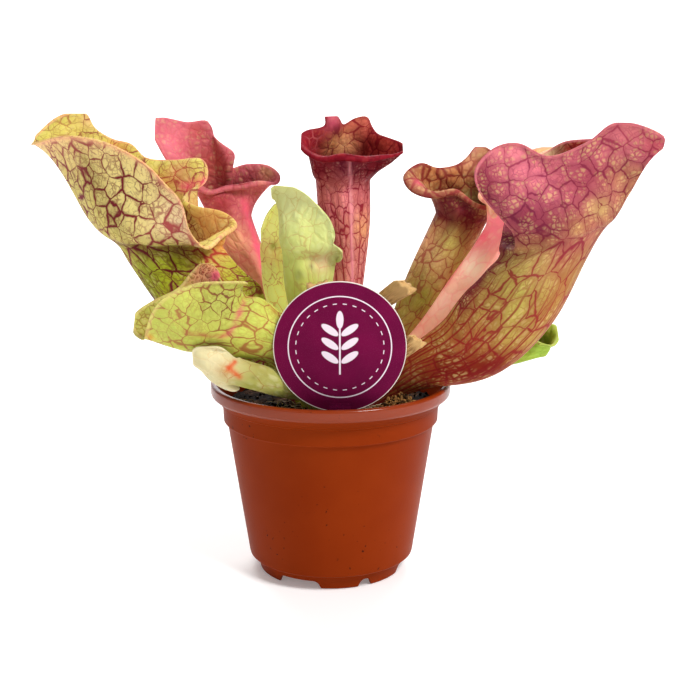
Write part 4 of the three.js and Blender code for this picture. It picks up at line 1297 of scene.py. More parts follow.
            (1, 0xFA8C94, 0xEB6473), (2, 0xDCAA6E, 0x963C3C)), rim=0xF0828C, fleck=0xFACDAA,
            # A strong painted glow lightens this leaf, which lies in the shade of its large
            # neighbour.
            strength=0.4, cell_size=4.5, vein=0.6, mesh=0.2, fleck_mask_and_painted_glow=0.42,
            tints=(patch(7, 0xFF8C9C, 0xFF788C, 0.95, (84, 12, 176)),
            patch(5, 0xFF6278, 0xFF5870, 0.85, (75.5, 15.5, 166.5)),
            patch(7, 0xFFE2C4, 0xFF8C84, 0.9, (71.5, 9, 152)),
            patch(3, 0xF06870, 0xE65A64, 0.8, (65, 16.5, 152), (58.5, 13, 143.5),
            (54, 13.5, 136.5)), patch(8, 0xFFC4AC, 0xF47876, 0.85, (55, 8, 136)),
            patch(8, 0xF69688, 0xE66A6A, 0.9, (45, 9.5, 124.5)),
            patch(4, 0xCEA058, 0x8C2828, 0.9, (78, 17.5, 183)))),
        inner=Skin(
            bands=((0, DARK_RED, DARK_RED), (1, 0xBE5A50, DARK_RED), (2, 0xE1BE8C, 0xC88C64)),
            # A strong painted glow lightens the inside, which lies in the shade of the large
            # neighbour.
            rim=0xF0968C, mesh=0.2, fleck_mask_and_painted_glow=0.42,
            tints=(patch(4, 0xCEA058, 0x8C2828, 0.9, (77, 10, 186)),))),
    Pitcher(
        node="pitcher_right_low", slot="leaf_bright_green", fineness=SLIGHT,
        form=LeafForm(
            spine=((18, -1, 79, 2.6, 2.6), (37, 5, 96, 3.2, 3.2), (60, 8, 106, 4.2, 4.2),
            (86, 9, 107, 5.5, 5.5), (103, 9, 112, 6.5, 6.5)),
            edge=((0, 101, 4, 117, -20), (50, 105, -4, 116, 10), (96, 110, -3, 115, 30),
            (140, 113, 1, 117, 30), (184, 114, 6, 120, 30), (230, 112, 10, 123, 30),
            (276, 107, 12, 121, 10), (322, 103, 9, 119, -20)),
            front=(-0.6, 0, 1), mouth=(1, 0, 0.8), turn=Turn.ANTICLOCKWISE, ridge=0.5, flare=0.3),
        outer=Skin(
            bands=((0, 0x78822D, 0x783C28), (1, 0x99AF3C, 0x8C9632), (2, 0xAAC350, 0x82963C)),
            rim=0xBED26E, rim_width=1, fleck=0xB4C85A, cell_size=6, vein=0.4, mesh=0.2,
            tints=(patch(6, 0xAACD54, 0x96BE46, 0.8, (104, 2.5, 111.5)),)),
        inner=Skin(
            bands=((0, OLIVE, OLIVE), (2, 0x96A53C, 0x6E8228)), rim=0xBED26E, vein=0.4, mesh=0.2,
            tints=(patch(7, 0x96BA3E, 0x82AA34, 0.8, (110.5, 10, 118.5)),))),
)


# ---- pot ----
@dataclass(frozen=True)
class Plastic:
    """The pot's plastic: matt, finely grained and lightly soiled."""

    base: Colour = srgb(130, 43, 7)
    lit: Colour = srgb(138, 49, 10)
    dirt: Colour = srgb(40, 18, 10)
    roughness: float = 0.4
    lip_height: tuple[float, float] = (0.0895, 0.0915)
    lip_radius: tuple[float, float] = (0.0572, 0.0578)

    def look(self, name: str) -> Look:
        """The plastic's material, with a coat on the outside of the bead."""
        look = Look(name, Specular_IOR_Level=0.02, Coat_Roughness=0.2)
        place = look.place()
        cloud = look.noise(place, 22.0, 3.0)
        colour = look.mix(cloud.step(0.3, 0.7), self.base, self.lit)
        speck = look.noise(place, 480.0, 1.0).step(0.715, 0.75)
        patch = look.noise(place, 34.0, 2.0).step(0.46, 0.6)
        stain = look.noise(place, 9.0, 4.0).step(0.52, 0.8) * 0.25
        colour = look.mix(stain, colour, look.mix(1.0, colour, (0.62, 0.5, 0.45), "MULTIPLY"))
        colour = look.mix(speck * patch * 0.85, colour, self.dirt)
        grain = look.noise(place, 900.0, 2.0)
        outside = look.length(look.stretched(place, (1, 1, 0))).step(*self.lip_radius)
        lip = look.parts(place)[2].step(*self.lip_height) * outside * 0.6
        look.set(Base_Color=colour, Coat_Weight=lip,
                 Roughness=cloud * 0.1 + grain * 0.1 + (self.roughness - 0.1))
        look.bump(grain * 0.6 + speck * patch * 0.6, 0.00012, 0.7)
        return look


@dataclass
class Pot:
    """The nursery pot: a tapered wall with a bead rim, a band, a skirt with feet, and drain
    holes."""

    sides: int = 144
    height: float = 97
    rim_radius: float = 60
    rim_mouth: float = 56.5
    bead_height: float = 5.5
    band_top: float = 86
    band_foot: float = 77.5
    band_radius: float = 54.2
    wall_top: float = 52.2
    wall_foot: float = 41.7
    ledge: float = 9
    skirt_top: float = 38
    skirt_foot: float = 36.4
    wall: float = 1.5
    skirt_wall: float = 1.6
    floor: float = 4
    floor_thickness: float = 1.6
    arch_slope: float = 1.6
    arch_round: float = 1.9
    arch_depth: tuple[float, float] = (-44, -30)
    arches: tuple[tuple[float, float], ...] = (
        (-44, -7), (22, 34), (64, 94), (136, 173), (202, 214), (244, 274))
    drain_radius: float = 3.5
    drain_ring: float = 22
    drain_count: int = 6
    finish: Plastic = Plastic()

    def outline(self) -> list[tuple[float, float]]:
        """The wall's section as (radius, height), from the floor's underside round the outside
        to the inside of the floor."""
        bead_foot = self.height - self.bead_height
        bead = (self.rim_radius - 1.2, self.height - 1.3)
        inside = self.skirt_foot - self.skirt_wall
        floor_top = self.floor + self.floor_thickness
        points = [
            (inside - 0.6, self.floor), (inside, self.floor - 0.4), (inside - 0.2, 0.3),
            (inside + 0.2, 0), (self.skirt_foot - 0.4, 0), (self.skirt_foot, 0.3),
            (self.skirt_top - 0.2, self.ledge - 2.8), (self.skirt_top + 0.3, self.ledge - 2),
            (self.wall_foot - 0.9, self.ledge - 1.4), (self.wall_foot - 0.2, self.ledge - 0.8),
            (self.wall_foot + 0.05, self.ledge), (self.wall_foot + 0.25, self.ledge + 1.2),
            (self.wall_top - 0.3, self.band_foot - 1), (self.wall_top, self.band_foot - 0.1),
            (self.band_radius - 0.8, self.band_foot + 0.1),
            (self.band_radius - 0.4, self.band_foot + 0.6),
            (self.band_radius - 0.05, self.band_top - 0.9), (self.band_radius + 0.1, self.band_top),
            (self.band_radius + 0.9, self.band_top + 0.5),
            (self.band_radius + 1.0, self.band_top + 1.3),
            (self.rim_radius - 3.0, bead_foot - 1.1), (self.rim_radius - 1.6, bead_foot - 0.9),
            (self.rim_radius - 0.9, bead_foot - 0.7), (self.rim_radius - 0.3, bead_foot - 0.1),
            (self.rim_radius, bead_foot + 0.9),
        ]
        for step in range(7):
            swing = math.radians(15 * step)
            points.append((bead[0] + 1.2 * math.cos(swing), bead[1] + 1.3 * math.sin(swing)))
        points += [
            (self.rim_mouth + 1.1, self.height - 0.05), (self.rim_mouth + 0.4, self.height - 0.4),
            (self.rim_mouth, self.height - 1.2),
            (self.band_radius - self.wall, self.band_top + 1),
            (self.band_radius - self.wall - 0.6, self.band_foot),
            (self.wall_top - self.wall, self.band_foot - 2),
            (self.wall_foot - self.wall + 0.2, self.ledge + 1.5),
            (self.skirt_top - 1, self.ledge - 0.2), (self.skirt_top - 3.5, floor_top),
        ]
        return points

    def build(self) -> bpy.types.Object:
        """Models the pot: a ring is extruded and resized along the outline, then cut."""
        outline = self.outline()
        deselect_all()
        bpy.ops.mesh.primitive_circle_add(vertices=self.sides, radius=outline[0][0] * MM,
                                          location=(0, 0, outline[0][1] * MM), fill_type="NGON")
        piece = start("nursery_pot")
        bpy.ops.object.mode_set(mode="EDIT")
        bpy.ops.mesh.select_mode(type="EDGE")
        select_edges(piece, lambda edge: True)
        for (radius, height), (wider, higher) in zip(outline, outline[1:]):
            bpy.ops.mesh.extrude_edges_move(
                TRANSFORM_OT_translate={"value": (0, 0, (higher - height) * MM)})
            resize_ring(wider / radius)
        fill_selected()
        face_outwards(piece)
        for gap in self.arches:
            self.cut(piece, self.arch(gap))
        for index in range(self.drain_count + 1):
            self.cut(piece, self.drain(index))
        settle(piece, 32)
        return piece

    def cut(self, piece: bpy.types.Object, cutter: bpy.types.Object) -> None:
        """Takes the cutter's shape out of the piece, and removes the cutter."""
        apply_modifier(piece, "BOOLEAN", operation="DIFFERENCE", solver="EXACT", object=cutter)
        bpy.data.objects.remove(cutter)

    def arch(self, gap: tuple[float, float]) -> bpy.types.Object:
        """The block that cuts one arch between two feet, with sloping ends and round corners.

        Args:
            gap: Its start and end, in degrees from the front.

        Returns:
            The cutter.
        """
        begin, end = gap
        half = self.skirt_foot * math.sin(math.radians((end - begin) / 2))
        middle = math.radians((begin + end) / 2)
        deselect_all()
        bpy.ops.mesh.primitive_cube_add(size=1)
        cutter = start("arch_cutter")
        mesh = cutter.data
        points = get_points(mesh)
        tops = points[:, 2] > 0
        points[:, 2] = np.where(tops, self.floor, -4.0)
        reach = np.where(tops, half - self.arch_slope, half + self.arch_slope)
        points[:, 0] = np.sign(points[:, 0]) * reach
        points[:, 1] = np.where(points[:, 1] > 0, self.arch_depth[1], self.arch_depth[0])
        set_points(mesh, points * MM)
        apply_modifier(cutter, "BEVEL", width=self.arch_round * MM, segments=4,
                       limit_method="ANGLE", angle_limit=math.radians(30))
        turned = get_points(mesh)
        x, y = turned[:, 0].copy(), turned[:, 1].copy()
        turned[:, 0] = x * math.cos(middle) - y * math.sin(middle)
        turned[:, 1] = x * math.sin(middle) + y * math.cos(middle)
        set_points(mesh, turned)
        return cutter

    def drain(self, index: int) -> bpy.types.Object:
        """The rod that cuts one drain hole; the last one stands in the middle."""
        angle = index / self.drain_count * math.tau
        reach = self.drain_ring * MM if index < self.drain_count else 0.0
        deselect_all()
        bpy.ops.mesh.primitive_cylinder_add(
            vertices=32, radius=self.drain_radius * MM, depth=12 * MM,
            location=(reach * math.cos(angle), reach * math.sin(angle), self.floor * MM))
        return start("drain_cutter")

    def dress(self) -> None:
        """Builds the pot and gives it its plastic."""
        hand_over(self.build(), "pot", [self.finish.look("terracotta_plastic")])


# ---- soil, crown and dried leaf bases ----
@dataclass(frozen=True)
class Peat:
    """Dark peat with brown crumbs."""

    dark: Colour = srgb(22, 13, 10)
    brown: Colour = srgb(88, 58, 38)
    pale: Colour = srgb(150, 112, 80)

    def look(self, name: str) -> Look:
        """The peat's material."""
        look = Look(name, Specular_IOR_Level=0.05)
        place = look.place()
        clump = look.noise(place, 110.0, 4.0)
        grit = look.noise(place, 700.0, 2.0)
        colour = look.mix(clump.step(0.45, 0.72), self.dark, self.brown)
        colour = look.mix(grit.step(0.66, 0.74) * 0.6, colour, self.pale)
        look.set(Base_Color=colour, Roughness=grit * 0.2 + 0.75)
        look.bump(clump * 0.6 + grit * 0.4, 0.0012)
        return look


@dataclass
class Soil:
    """The peat in the pot, with crumbs on it and fine roots across it."""

    level: float = 87
    edge_radius: float = 52.2
    sides: int = 128
    rings: int = 40
    side: tuple[tuple[float, float], ...] = (
        (51.7, 78), (50, 75.5), (40, 10.9), (36.6, 9.3), (34.1, 6.1))
    crumbs: int = 1500
    crumb_sizes: tuple[float, ...] = (0.35, 0.5, 0.8, 1.2)
    crumb_shares: tuple[float, ...] = (0.4, 0.35, 0.2, 0.05)
    heap: tuple[float, float] = (34, -22)
    heap_spread: tuple[float, float] = (6, 4)
    heap_height: float = 9
    heap_slope: float = 9
    heap_reach: float = 14
    roots: int = 40
    root_radius: float = 0.17
    peat: Peat = Peat()

    def height(self, x: np.ndarray, y: np.ndarray) -> np.ndarray:
        """The soil's level at a place, in millimetres."""
        lumps = np.sin(x * 0.33 + 1.2) * np.cos(y * 0.29) + 0.6 * np.sin(x * 0.71 - y * 0.63)
        fine = np.sin(x * 1.7 + 2 * np.sin(y * 0.9)) * np.sin(y * 1.5 + 1.3 * np.sin(x * 1.1))
        edge = np.clip((np.hypot(x, y) - 46) / 6, 0, 1) ** 2 * 1.6
        return self.level + 0.7 * lumps + 0.35 * fine - edge - 0.5

    def body(self) -> bpy.types.Object:
        """The peat itself: a disc of rings with a side and a floor, as the pot's inside."""
        deselect_all()
        bpy.ops.mesh.primitive_circle_add(vertices=self.sides, radius=self.edge_radius * MM,
                                          fill_type="NOTHING")
        piece = start("peat")
        edit_all()
        for ring in range(self.rings, 1, -1):
            bpy.ops.mesh.extrude_edges_move()
            resize_ring((ring - 1) / ring)
        fill_selected()
        points = get_points(piece.data) / MM
        points[:, 2] = self.height(points[:, 0], points[:, 1])
        set_points(piece.data, points * MM)
        select_edges(piece, on_boundary)
        last = self.edge_radius
        for radius, height in self.side:
            bpy.ops.mesh.extrude_edges_move()
            resize_ring(radius / last, 0.0, height * MM)
            last = radius
        fill_selected()
        face_outwards(piece)
        settle(piece)
        return piece

    def crumb(self, variant: int) -> tuple[np.ndarray, list[tuple[int, ...]]]:
        """One crumb: a small ball with its points pushed about.

        Args:
            variant: Which of the shapes.

        Returns:
            Its points at radius 1, and its faces.
        """
        deselect_all()
        bpy.ops.mesh.primitive_ico_sphere_add(subdivisions=1, radius=1)
        ball = bpy.context.object
        points = get_points(ball.data)
        draw = np.random.default_rng(SEED + variant)
        points *= draw.uniform(0.6, 1.25, (len(points), 1))
        faces = [tuple(face.vertices) for face in ball.data.polygons]
        bpy.data.objects.remove(ball)
        return points, faces

    def scatter(self) -> bpy.types.Object:
        """The crumbs: copies of a few shapes, every second one in the heap at the front right."""
        draw = np.random.default_rng(SEED)
        shapes = [self.crumb(variant) for variant in range(5)]
        points, faces = [], []
        count = 0
        for index in range(self.crumbs):
            reach = self.edge_radius * math.sqrt(draw.uniform(0.02, 0.97))
            angle = draw.uniform(0, math.tau)
            x, y = reach * math.cos(angle), reach * math.sin(angle)
            if index % 2:
                x, y = (spot + draw.normal(0, spread)
                        for spot, spread in zip(self.heap, self.heap_spread))
                x, y = np.array([x, y]) * min(1, (self.edge_radius - 3) / math.hypot(x, y))
            size = float(draw.choice(self.crumb_sizes, p=self.crumb_shares))
            shape, shape_faces = shapes[index % len(shapes)]
            turn = draw.normal(size=(3, 3))
            turn, _ = np.linalg.qr(turn)
            if np.linalg.det(turn) < 0:
                turn[:, 0] *= -1
            moved = shape @ turn.T * size * draw.uniform(0.6, 1.2, 3)
            level = float(self.height(np.array(x), np.array(y)))
            away = math.dist((x, y), self.heap)
            heaped = math.exp(-(away / self.heap_slope) ** 2)
            level += self.heap_height * heaped * draw.uniform(0.2, 1)
            points.append(moved + [x, y, level + size * 0.35])
            faces += [tuple(count + vertex for vertex in face) for face in shape_faces]
            count += len(shape)
        piece = loose_bits("peat_crumbs", np.concatenate(points), faces)
        face_outwards(piece)
        return piece

    def fibres(self) -> bpy.types.Object:
        """Fine roots that wander over the peat from where they start at the front."""
        draw = np.random.default_rng(SEED + 9)
        points, faces = [], []
        for _ in range(self.roots):
            angle = draw.uniform(-2.9, -0.6)
            reach = draw.uniform(20, 44)
            place = np.array([reach * math.cos(angle), reach * math.sin(angle)])
            heading = draw.uniform(0, math.tau)
            lift = draw.uniform(0.3, 1.6)
            steps = int(draw.integers(14, 26))
            for step in range(steps + 1):
                heading += draw.normal(0, 0.32)
                place = place + np.array([math.cos(heading), math.sin(heading)])
                place *= min(1.0, 49 / float(np.hypot(*place)))
                rise = float(self.height(*place)) + 0.4 + lift * math.sin(math.pi * step / steps)
                for turn in np.radians((90, 210, 330)):
                    side = self.root_radius * math.cos(turn)
                    points.append((place[0] - side * math.sin(heading),
                                   place[1] + side * math.cos(heading),
                                   rise + self.root_radius * math.sin(turn)))
                if step:
                    last = len(points) - 6
                    faces += [(last + k, last + (k + 1) % 3, last + 3 + (k + 1) % 3, last + 3 + k)
                              for k in range(3)]
                    continue
                faces.append(tuple(range(len(points) - 1, len(points) - 4, -1)))
            faces.append(tuple(range(len(points) - 3, len(points))))
        return loose_bits("roots", np.array(points), faces)

    def dress(self) -> None:
        """Builds the peat with its crumbs and roots as one piece."""
        body, crumbs, roots = self.body(), self.scatter(), self.fibres()
        root = Look("fine_roots", Specular_IOR_Level=0.2)
        shade = root.noise(root.place(), 90.0)
        colour = root.mix(shade.step(0.35, 0.65), srgb(150, 128, 100), srgb(206, 192, 168))
        root.set(Base_Color=colour, Roughness=shade * 0.1 + 0.6)
        grit = Look("golden_crumbs", Specular_IOR_Level=0.1)
        fleck = grit.noise(grit.place(), 260.0, 3.0)
        colour = grit.mix(fleck.step(0.42, 0.62), srgb(58, 36, 18), srgb(176, 128, 72))
        grit.set(Base_Color=colour, Roughness=fleck * 0.1 + 0.75)
        looks = [self.peat.look("peat"), root, grit]
        for part in (body, crumbs, roots):
            wear(part, looks)
        for face in roots.data.polygons:
            face.material_index = 1
        for face in crumbs.data.polygons:
            away = math.dist(face.center[:2], [value * MM for value in self.heap])
            if away < self.heap_reach * MM:
                face.material_index = 2
        activate(body)
        crumbs.select_set(True)
        roots.select_set(True)
        bpy.ops.object.join()
        hand_over(body, "soil", looks)


@dataclass(frozen=True)
class Straw:
    """Dry, fibrous leaf tissue."""

    pale: Colour = srgb(216, 174, 112)
    brown: Colour = srgb(160, 108, 54)
    dark: Colour = srgb(104, 64, 30)

    def look(self, name: str) -> Look:
        """The straw's material, with fibres that run up the piece."""
        look = Look(name, Specular_IOR_Level=0.3)
        vein = look.attribute("vein")
        fibre = look.noise(look.stretched(vein, (1, 1, 0.12)), 2.4, 2.0)
        patch = look.noise(vein, 0.2, 3.0)
        colour = look.mix(fibre.step(0.36, 0.64), self.brown, self.pale)
        colour = look.mix(patch.step(0.5, 0.75) * 0.5, colour, self.dark)
        colour = look.mix(look.attribute("tip", "Fac") * 0.85, colour, self.pale)
        look.set(Base_Color=colour, Roughness=fibre * 0.2 + 0.6)
        look.bump(fibre * 0.7 + patch * 0.3, 0.00025)
        return look


@dataclass
class Stub:
    """A dried leaf base: a slim stem with a ragged end."""

    node: str
    spine: tuple[tuple[float, ...], ...]
    ragged: float = 3.0
    around: int = 40
    rows: int = 40

    def build(self) -> bpy.types.Object:
        """Models the stub: a grid is rolled round its spine, and its end is torn and closed."""
        keys = np.array(self.spine, float)
        shares = np.linspace(0, 1, self.rows + 1)
        cuts = curve_through(keys, np.linspace(0, 1, len(keys)), shares)
        angles = np.radians(np.linspace(0, 360, self.around + 1))
        angles[-1] = 0
        along = unit(np.gradient(cuts[:, :3], axis=0))
        front = np.array([0.0, -1.0, 0.0])
        rings, pattern = [], []
        travelled = 0.0
        for row, cut in enumerate(cuts):
            ahead = unit(front - along[row] * (front @ along[row]))
            side = np.cross(along[row], ahead)
            fold = 1 + 0.12 * np.sin(5 * angles + row * 0.11) + 0.05 * np.sin(13 * angles)
            out = ((cut[4] * fold * np.cos(angles))[:, None] * ahead
                   + (cut[3] * fold * np.sin(angles))[:, None] * side)
            tear = self.ragged * max(0.0, shares[row] - 0.85) / 0.15
            lift = tear * (np.sin(3 * angles + 1) + 0.6 * np.sin(7 * angles) - 1.2)
            rings.append(cut[:3] + out + lift[:, None] * along[row] * 0.4)
            if row:
                travelled += float(np.linalg.norm(cut[:3] - cuts[row - 1, :3]))
            pattern.append(np.stack([out @ ahead, out @ side, np.full(len(angles), travelled)], -1))
        tips = np.repeat(np.clip((np.append(shares, [1, 1]) - 0.8) / 0.12, 0, 1), self.around + 1)
        for share in (0.7, 0.3):
            inner = cuts[-1, :3] + (rings[self.rows] - cuts[-1, :3]) * share - along[-1] * 1.2
            rings.append(inner)
            pattern.append(pattern[self.rows] * share)
        deselect_all()
        bpy.ops.mesh.primitive_grid_add(x_subdivisions=self.around,
                                        y_subdivisions=len(rings) - 1, size=1)
        piece = start(self.node + "_dry")
        low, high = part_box(self.node)
        points = np.array(rings).reshape(-1, 3) * MM
        set_points(piece.data, np.clip(points, np.array(low), np.array(high)))
        write_attribute(piece.data, "vein", "FLOAT_VECTOR", np.array(pattern))
        write_attribute(piece.data, "tip", "FLOAT", tips)
        edit_all()
        bpy.ops.mesh.remove_doubles(threshold=1e-7)
        select_edges(piece, on_boundary)
        bpy.ops.mesh.fill_holes(sides=0)
        bpy.ops.object.mode_set(mode="OBJECT")
        face_outwards(piece)
        settle(piece)
        return piece

    def dress(self, look: Look) -> None:
        """Builds the stub and gives it the look."""
        hand_over(self.build(), self.node, [look])


STUBS = (
    Stub("stub_left", ((1, -12, 82, 2.2, 2.2), (-1, -26, 116, 3, 3), (-5, -33, 140, 4.2, 3.6),
                       (-6, -35, 153, 5, 3.4))),
    Stub("stub_middle", ((6, -4, 82, 2.2, 2.2), (12, -8, 112, 2.6, 2.6), (20, -14, 134, 3.4, 3),
                         (38, -22, 150, 5, 3.6))),
    Stub("stub_right", ((9, -15, 82, 2.2, 2.2), (20, -25, 104, 2.6, 2.6), (34, -32, 118, 3.2, 3),
                        (43, -34, 126, 4.4, 3.2))),
)


@dataclass
class Crown:
    """The buried rhizome that every leaf grows from."""

    centre: Point = (0, -1, 77)
    radii: Point = (24.6, 22.6, 11.2)
    lump: float = 0.05

    def dress(self) -> None:
        """Builds the rhizome: a ball drawn out flat, with knobs and leaf scars."""
        deselect_all()
        bpy.ops.mesh.primitive_uv_sphere_add(segments=72, ring_count=40, radius=1)
        piece = start("crown")
        points = get_points(piece.data)
        x, y, z = points.T
        wave = 1 + self.lump * np.sin(4 * x + 1) * np.cos(5 * y) * (1 - z * z)
        wave -= 0.02 * np.abs(np.sin(16 * x + 4 * y) * np.cos(14 * y - 5 * z))
        points = points * wave[:, None] * np.array(self.radii) + np.array(self.centre)
        set_points(piece.data, points * MM)
        settle(piece)
        look = Look("rhizome", Specular_IOR_Level=0.3)
        place = look.place()
        bark = look.noise(place, 160.0, 4.0)
        scar = look.noise(look.stretched(place, (1, 1, 3)), 420.0, 2.0)
        colour = look.mix(bark.step(0.35, 0.7), srgb(58, 36, 22), srgb(124, 84, 50))
        look.set(Base_Color=colour, Roughness=scar * 0.2 + 0.7)
        look.bump(bark * 0.6 + scar * 0.4, 0.0008)
        hand_over(piece, "rhizome", [look])


# ---- tag ----
@dataclass(frozen=True)
class Print:
    """The tag's print: a plum ground with a white ring, a ring of dashes and a plain sprig."""

    plum: Colour = srgb(110, 14, 60)
    deep: Colour = srgb(98, 12, 54)
    white: Colour = srgb(240, 225, 235)
    edge: Colour = srgb(235, 225, 215)
    ring_radius: float = 24.0
    dash_radius: float = 20.5
    dashes: int = 28

    def look(self, centre: Point, radius: float, thickness: float) -> Look:
        """The tag's material, in which the print lies on the front face.

        Args:
            centre: The disc's middle, in millimetres.
            radius: Its radius.
            thickness: Its thickness.

        Returns:
            The look.
        """
        look = Look("printed_tag", Specular_IOR_Level=0.01)
        place = look.place()
        x, y, z = look.parts(look.scaled(place, 1 / MM))
        across, up = x - centre[0], z - centre[2]
        flat = look.node("ShaderNodeCombineXYZ", {}, {0: across, 1: up})
        away = look.length(flat)
        turn = up.angle(across)
        ring = self.line(away - self.ring_radius, 0.28)
        dashes = (turn * (self.dashes / math.tau) + float(self.dashes)).fraction()
        dash = self.line(dashes - 0.5, 0.2)
        marks = self.line(away - self.dash_radius, 0.22) * dash
        sprig = self.sprig(look, across, up)
        front = y.below(centre[1] - thickness * 0.3, centre[1] - thickness * 0.42)
        fibre = look.noise(place, 2600.0, 1.0)
        shade = look.noise(place, 60.0, 2.0)
        ground = look.mix(shade.step(0.3, 0.7), self.plum, self.deep)
        ground = look.mix(fibre.step(0.5, 0.75) * 0.14, ground, srgb(160, 80, 110))
        print_mask = ring.larger(marks).larger(sprig) * front
        colour = look.mix(print_mask * 0.92, ground, self.white)
        colour = look.mix(away.step(radius - 0.45, radius - 0.2), colour, self.edge)
        look.set(Base_Color=colour, Roughness=fibre * 0.1 + 0.5)
        look.bump(fibre, 0.00004, 0.5)
        return look

    def line(self, away: Wire, half: float) -> Wire:
        """A line of a given half width where the value is near 0."""
        return away.absolute().below(half * 1.25, half * 0.75)

    def oval(self, look: Look, across: Wire, up: Wire, middle: tuple[float, float],
             turn: float, radii: tuple[float, float]) -> Wire:
        """How far out a point is in a turned oval, 1 on its outline.

        Args:
            look: The look that it belongs to.
            across: The point's place to the right.
            up: The point's place upwards.
            middle: The oval's middle.
            turn: How far it is turned, in degrees.
            radii: Its two radii.

        Returns:
            The wire.
        """
        right, rise = across - middle[0], up - middle[1]
        cosine, sine = math.cos(math.radians(turn)), math.sin(math.radians(turn))
        first = (right * cosine + rise * sine) / radii[0]
        second = (rise * cosine - right * sine) / radii[1]
        return look.length(look.node("ShaderNodeCombineXYZ", {}, {0: first, 1: second}))

    def sprig(self, look: Look, across: Wire, up: Wire) -> Wire:
        """A plain sprig: a stem with three pairs of oval leaves and one at its tip."""
        mask = self.line(across, 0.4) * up.below(11.0, 10.6) * up.step(-13.2, -12.8)
        for height in (-7.0, -0.5, 6.0):
            for way in (-1, 1):
                middle = (4.6 * way, height + 2.2)
                oval = self.oval(look, across, up, middle, 34.0 * way, (4.6, 1.7))
                mask = mask.larger(oval.below(1.06, 0.94))
        tip = self.oval(look, across, up, (0.0, 13.0), 90.0, (4.2, 1.7))
        return mask.larger(tip.below(1.06, 0.94))


@dataclass
class Tag:
    """The round tag on its stake."""

    centre: Point = (5, -46, 124)
    radius: float = 31
    thickness: float = 1
    stake_width: float = 10
    stake_foot: float = 62
    stake_point: float = 8
    printed: Print = Print()

    def build(self) -> bpy.types.Object:
        """Models the tag: a thin disc joined to a flat stake whose foot is drawn in to a point."""
        x, y, z = self.centre
        deselect_all()
        bpy.ops.mesh.primitive_cylinder_add(
            vertices=192, radius=self.radius * MM, depth=self.thickness * MM,
            location=(x * MM, y * MM, z * MM), rotation=(math.pi / 2, 0, 0))
        piece = start("plant_tag")
        half = self.stake_width / 2 * MM
        top, foot = (z - self.radius + 4) * MM, self.stake_foot * MM
        bpy.ops.mesh.primitive_cube_add(size=1, location=(x * MM, y * MM, (top + foot) / 2))
        stake = bpy.context.object
        stake.dimensions = (half * 2, self.thickness * MM, top - foot)
        apply_place()
        edit_all()
        bpy.ops.mesh.bisect(plane_co=(0, 0, foot + self.stake_point * MM), plane_no=(0, 0, 1))
        bpy.ops.object.mode_set(mode="OBJECT")
        points = get_points(stake.data)
        low = points[:, 2] < foot + 1e-6
        points[low, 0] = x * MM + (points[low, 0] - x * MM) * 0.04
        set_points(stake.data, points)
        apply_modifier(piece, "BOOLEAN", operation="UNION", solver="EXACT", object=stake)
        bpy.data.objects.remove(stake)
        apply_modifier(piece, "BEVEL", width=0.12 * MM, segments=2, limit_method="ANGLE",
                       angle_limit=math.radians(40))
        settle(piece, 30)
        return piece

    def dress(self) -> None:
        """Builds the tag and prints it."""
        look = self.printed.look(self.centre, self.radius, self.thickness)
        hand_over(self.build(), "tag", [look])


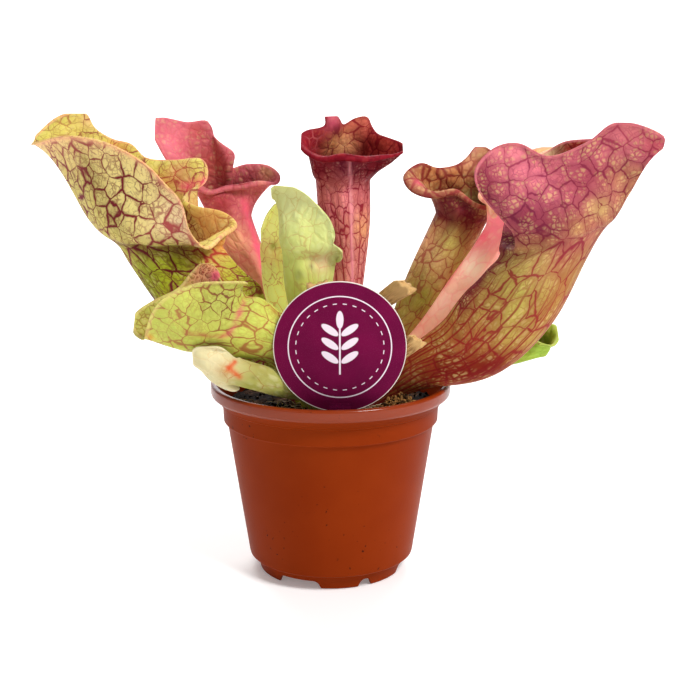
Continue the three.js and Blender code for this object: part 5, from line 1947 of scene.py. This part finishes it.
# ---- studio ----
@dataclass
class Studio:
    """The pale floor, the backdrop, the soft lights and the camera."""

    floor_size: float = 6.0
    focal_pixels: float = 1353.0
    image_pixels: float = 700.0
    sensor: float = 36.0
    eye: Point = (9.7, -659, 261.9)
    pitch: float = 12.8

    def build(self) -> None:
        """Sets up the stage, the lights and the camera."""
        self.stage()
        self.lights()
        self.camera()

    def stage(self) -> None:
        """The floor, which curves up into a backdrop at its far end."""
        deselect_all()
        bpy.ops.mesh.primitive_grid_add(x_subdivisions=8, y_subdivisions=48, size=self.floor_size,
                                        location=(0, 1.0, 0))
        floor = start("floor")
        points = get_points(floor.data)
        past = np.clip(points[:, 1] - 2.2, 0, None)
        points[:, 2] = past ** 2 * 0.9 - 0.0002
        set_points(floor.data, points)
        settle(floor)
        look = Look("pale_floor", Specular_IOR_Level=0.1, Emission_Color=(1, 1, 1, 1),
                    Emission_Strength=0.2)
        mottle = look.noise(look.place(), 3.0, 2.0)
        colour = look.mix(mottle, srgb(250, 250, 250), srgb(246, 246, 246))
        look.set(Base_Color=colour, Roughness=mottle * 0.05 + 0.85)
        floor.data.materials.append(look.material)

    def lights(self) -> None:
        """A white sky, a broad key light from the upper right and a fill from the left."""
        scene = bpy.context.scene
        world = bpy.data.worlds.new("studio")
        scene.world = world
        world.use_nodes = True
        sky = world.node_tree.nodes["Background"].inputs
        sky["Color"].default_value = (1, 1, 1, 1)
        sky["Strength"].default_value = 0.24
        self.lamp("key", (0.75, -0.75, 1.2), 0.45, 21.0)
        self.lamp("fill", (-0.9, -0.7, 0.7), 0.9, 1.0)
        self.lamp("rim", (-0.3, 0.9, 1.2), 0.8, 7.0)
        self.lamp("backdrop", (0, 2.6, 2.2), 2.5, 90.0, (0, 3.0, 0))
        scene.view_settings.view_transform = "Standard"

    def lamp(self, name: str, place: Point, size: float, power: float,
             target: Point = (0, 0, 0.13)) -> None:
        """One soft square lamp, which faces the plant unless told otherwise.

        Args:
            name: Its name.
            place: Where it hangs, in metres.
            size: Its side.
            power: Its power in watts.
            target: The point that it faces, in metres.
        """
        light = bpy.data.lights.new(name, "AREA")
        light.size = size
        light.energy = power
        lamp = link(name, light)
        lamp.location = place
        way = Vector(target) - Vector(place)
        lamp.rotation_euler = way.to_track_quat("-Z", "Y").to_euler()

    def camera(self) -> None:
        """The camera at the photograph's viewing angle."""
        lens = bpy.data.cameras.new("camera")
        lens.sensor_width = self.sensor
        lens.lens = self.focal_pixels / self.image_pixels * self.sensor
        camera = link("camera", lens)
        camera.location = tuple(value * MM for value in self.eye)
        camera.rotation_euler = (math.radians(90 - self.pitch), 0, 0)
        bpy.context.scene.camera = camera


def main() -> None:
    """Builds the plant and its studio, piece by piece."""
    logging.basicConfig(level=logging.INFO, format="%(message)s")
    Studio().build()
    Pot().dress()
    Soil().dress()
    Crown().dress()
    straw = Straw().look("dry_straw")
    for stub in STUBS:
        stub.dress(straw)
    for leaf in LEAVES:
        leaf.dress()
    Tag().dress()
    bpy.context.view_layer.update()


if __name__ == "__main__":
    main()
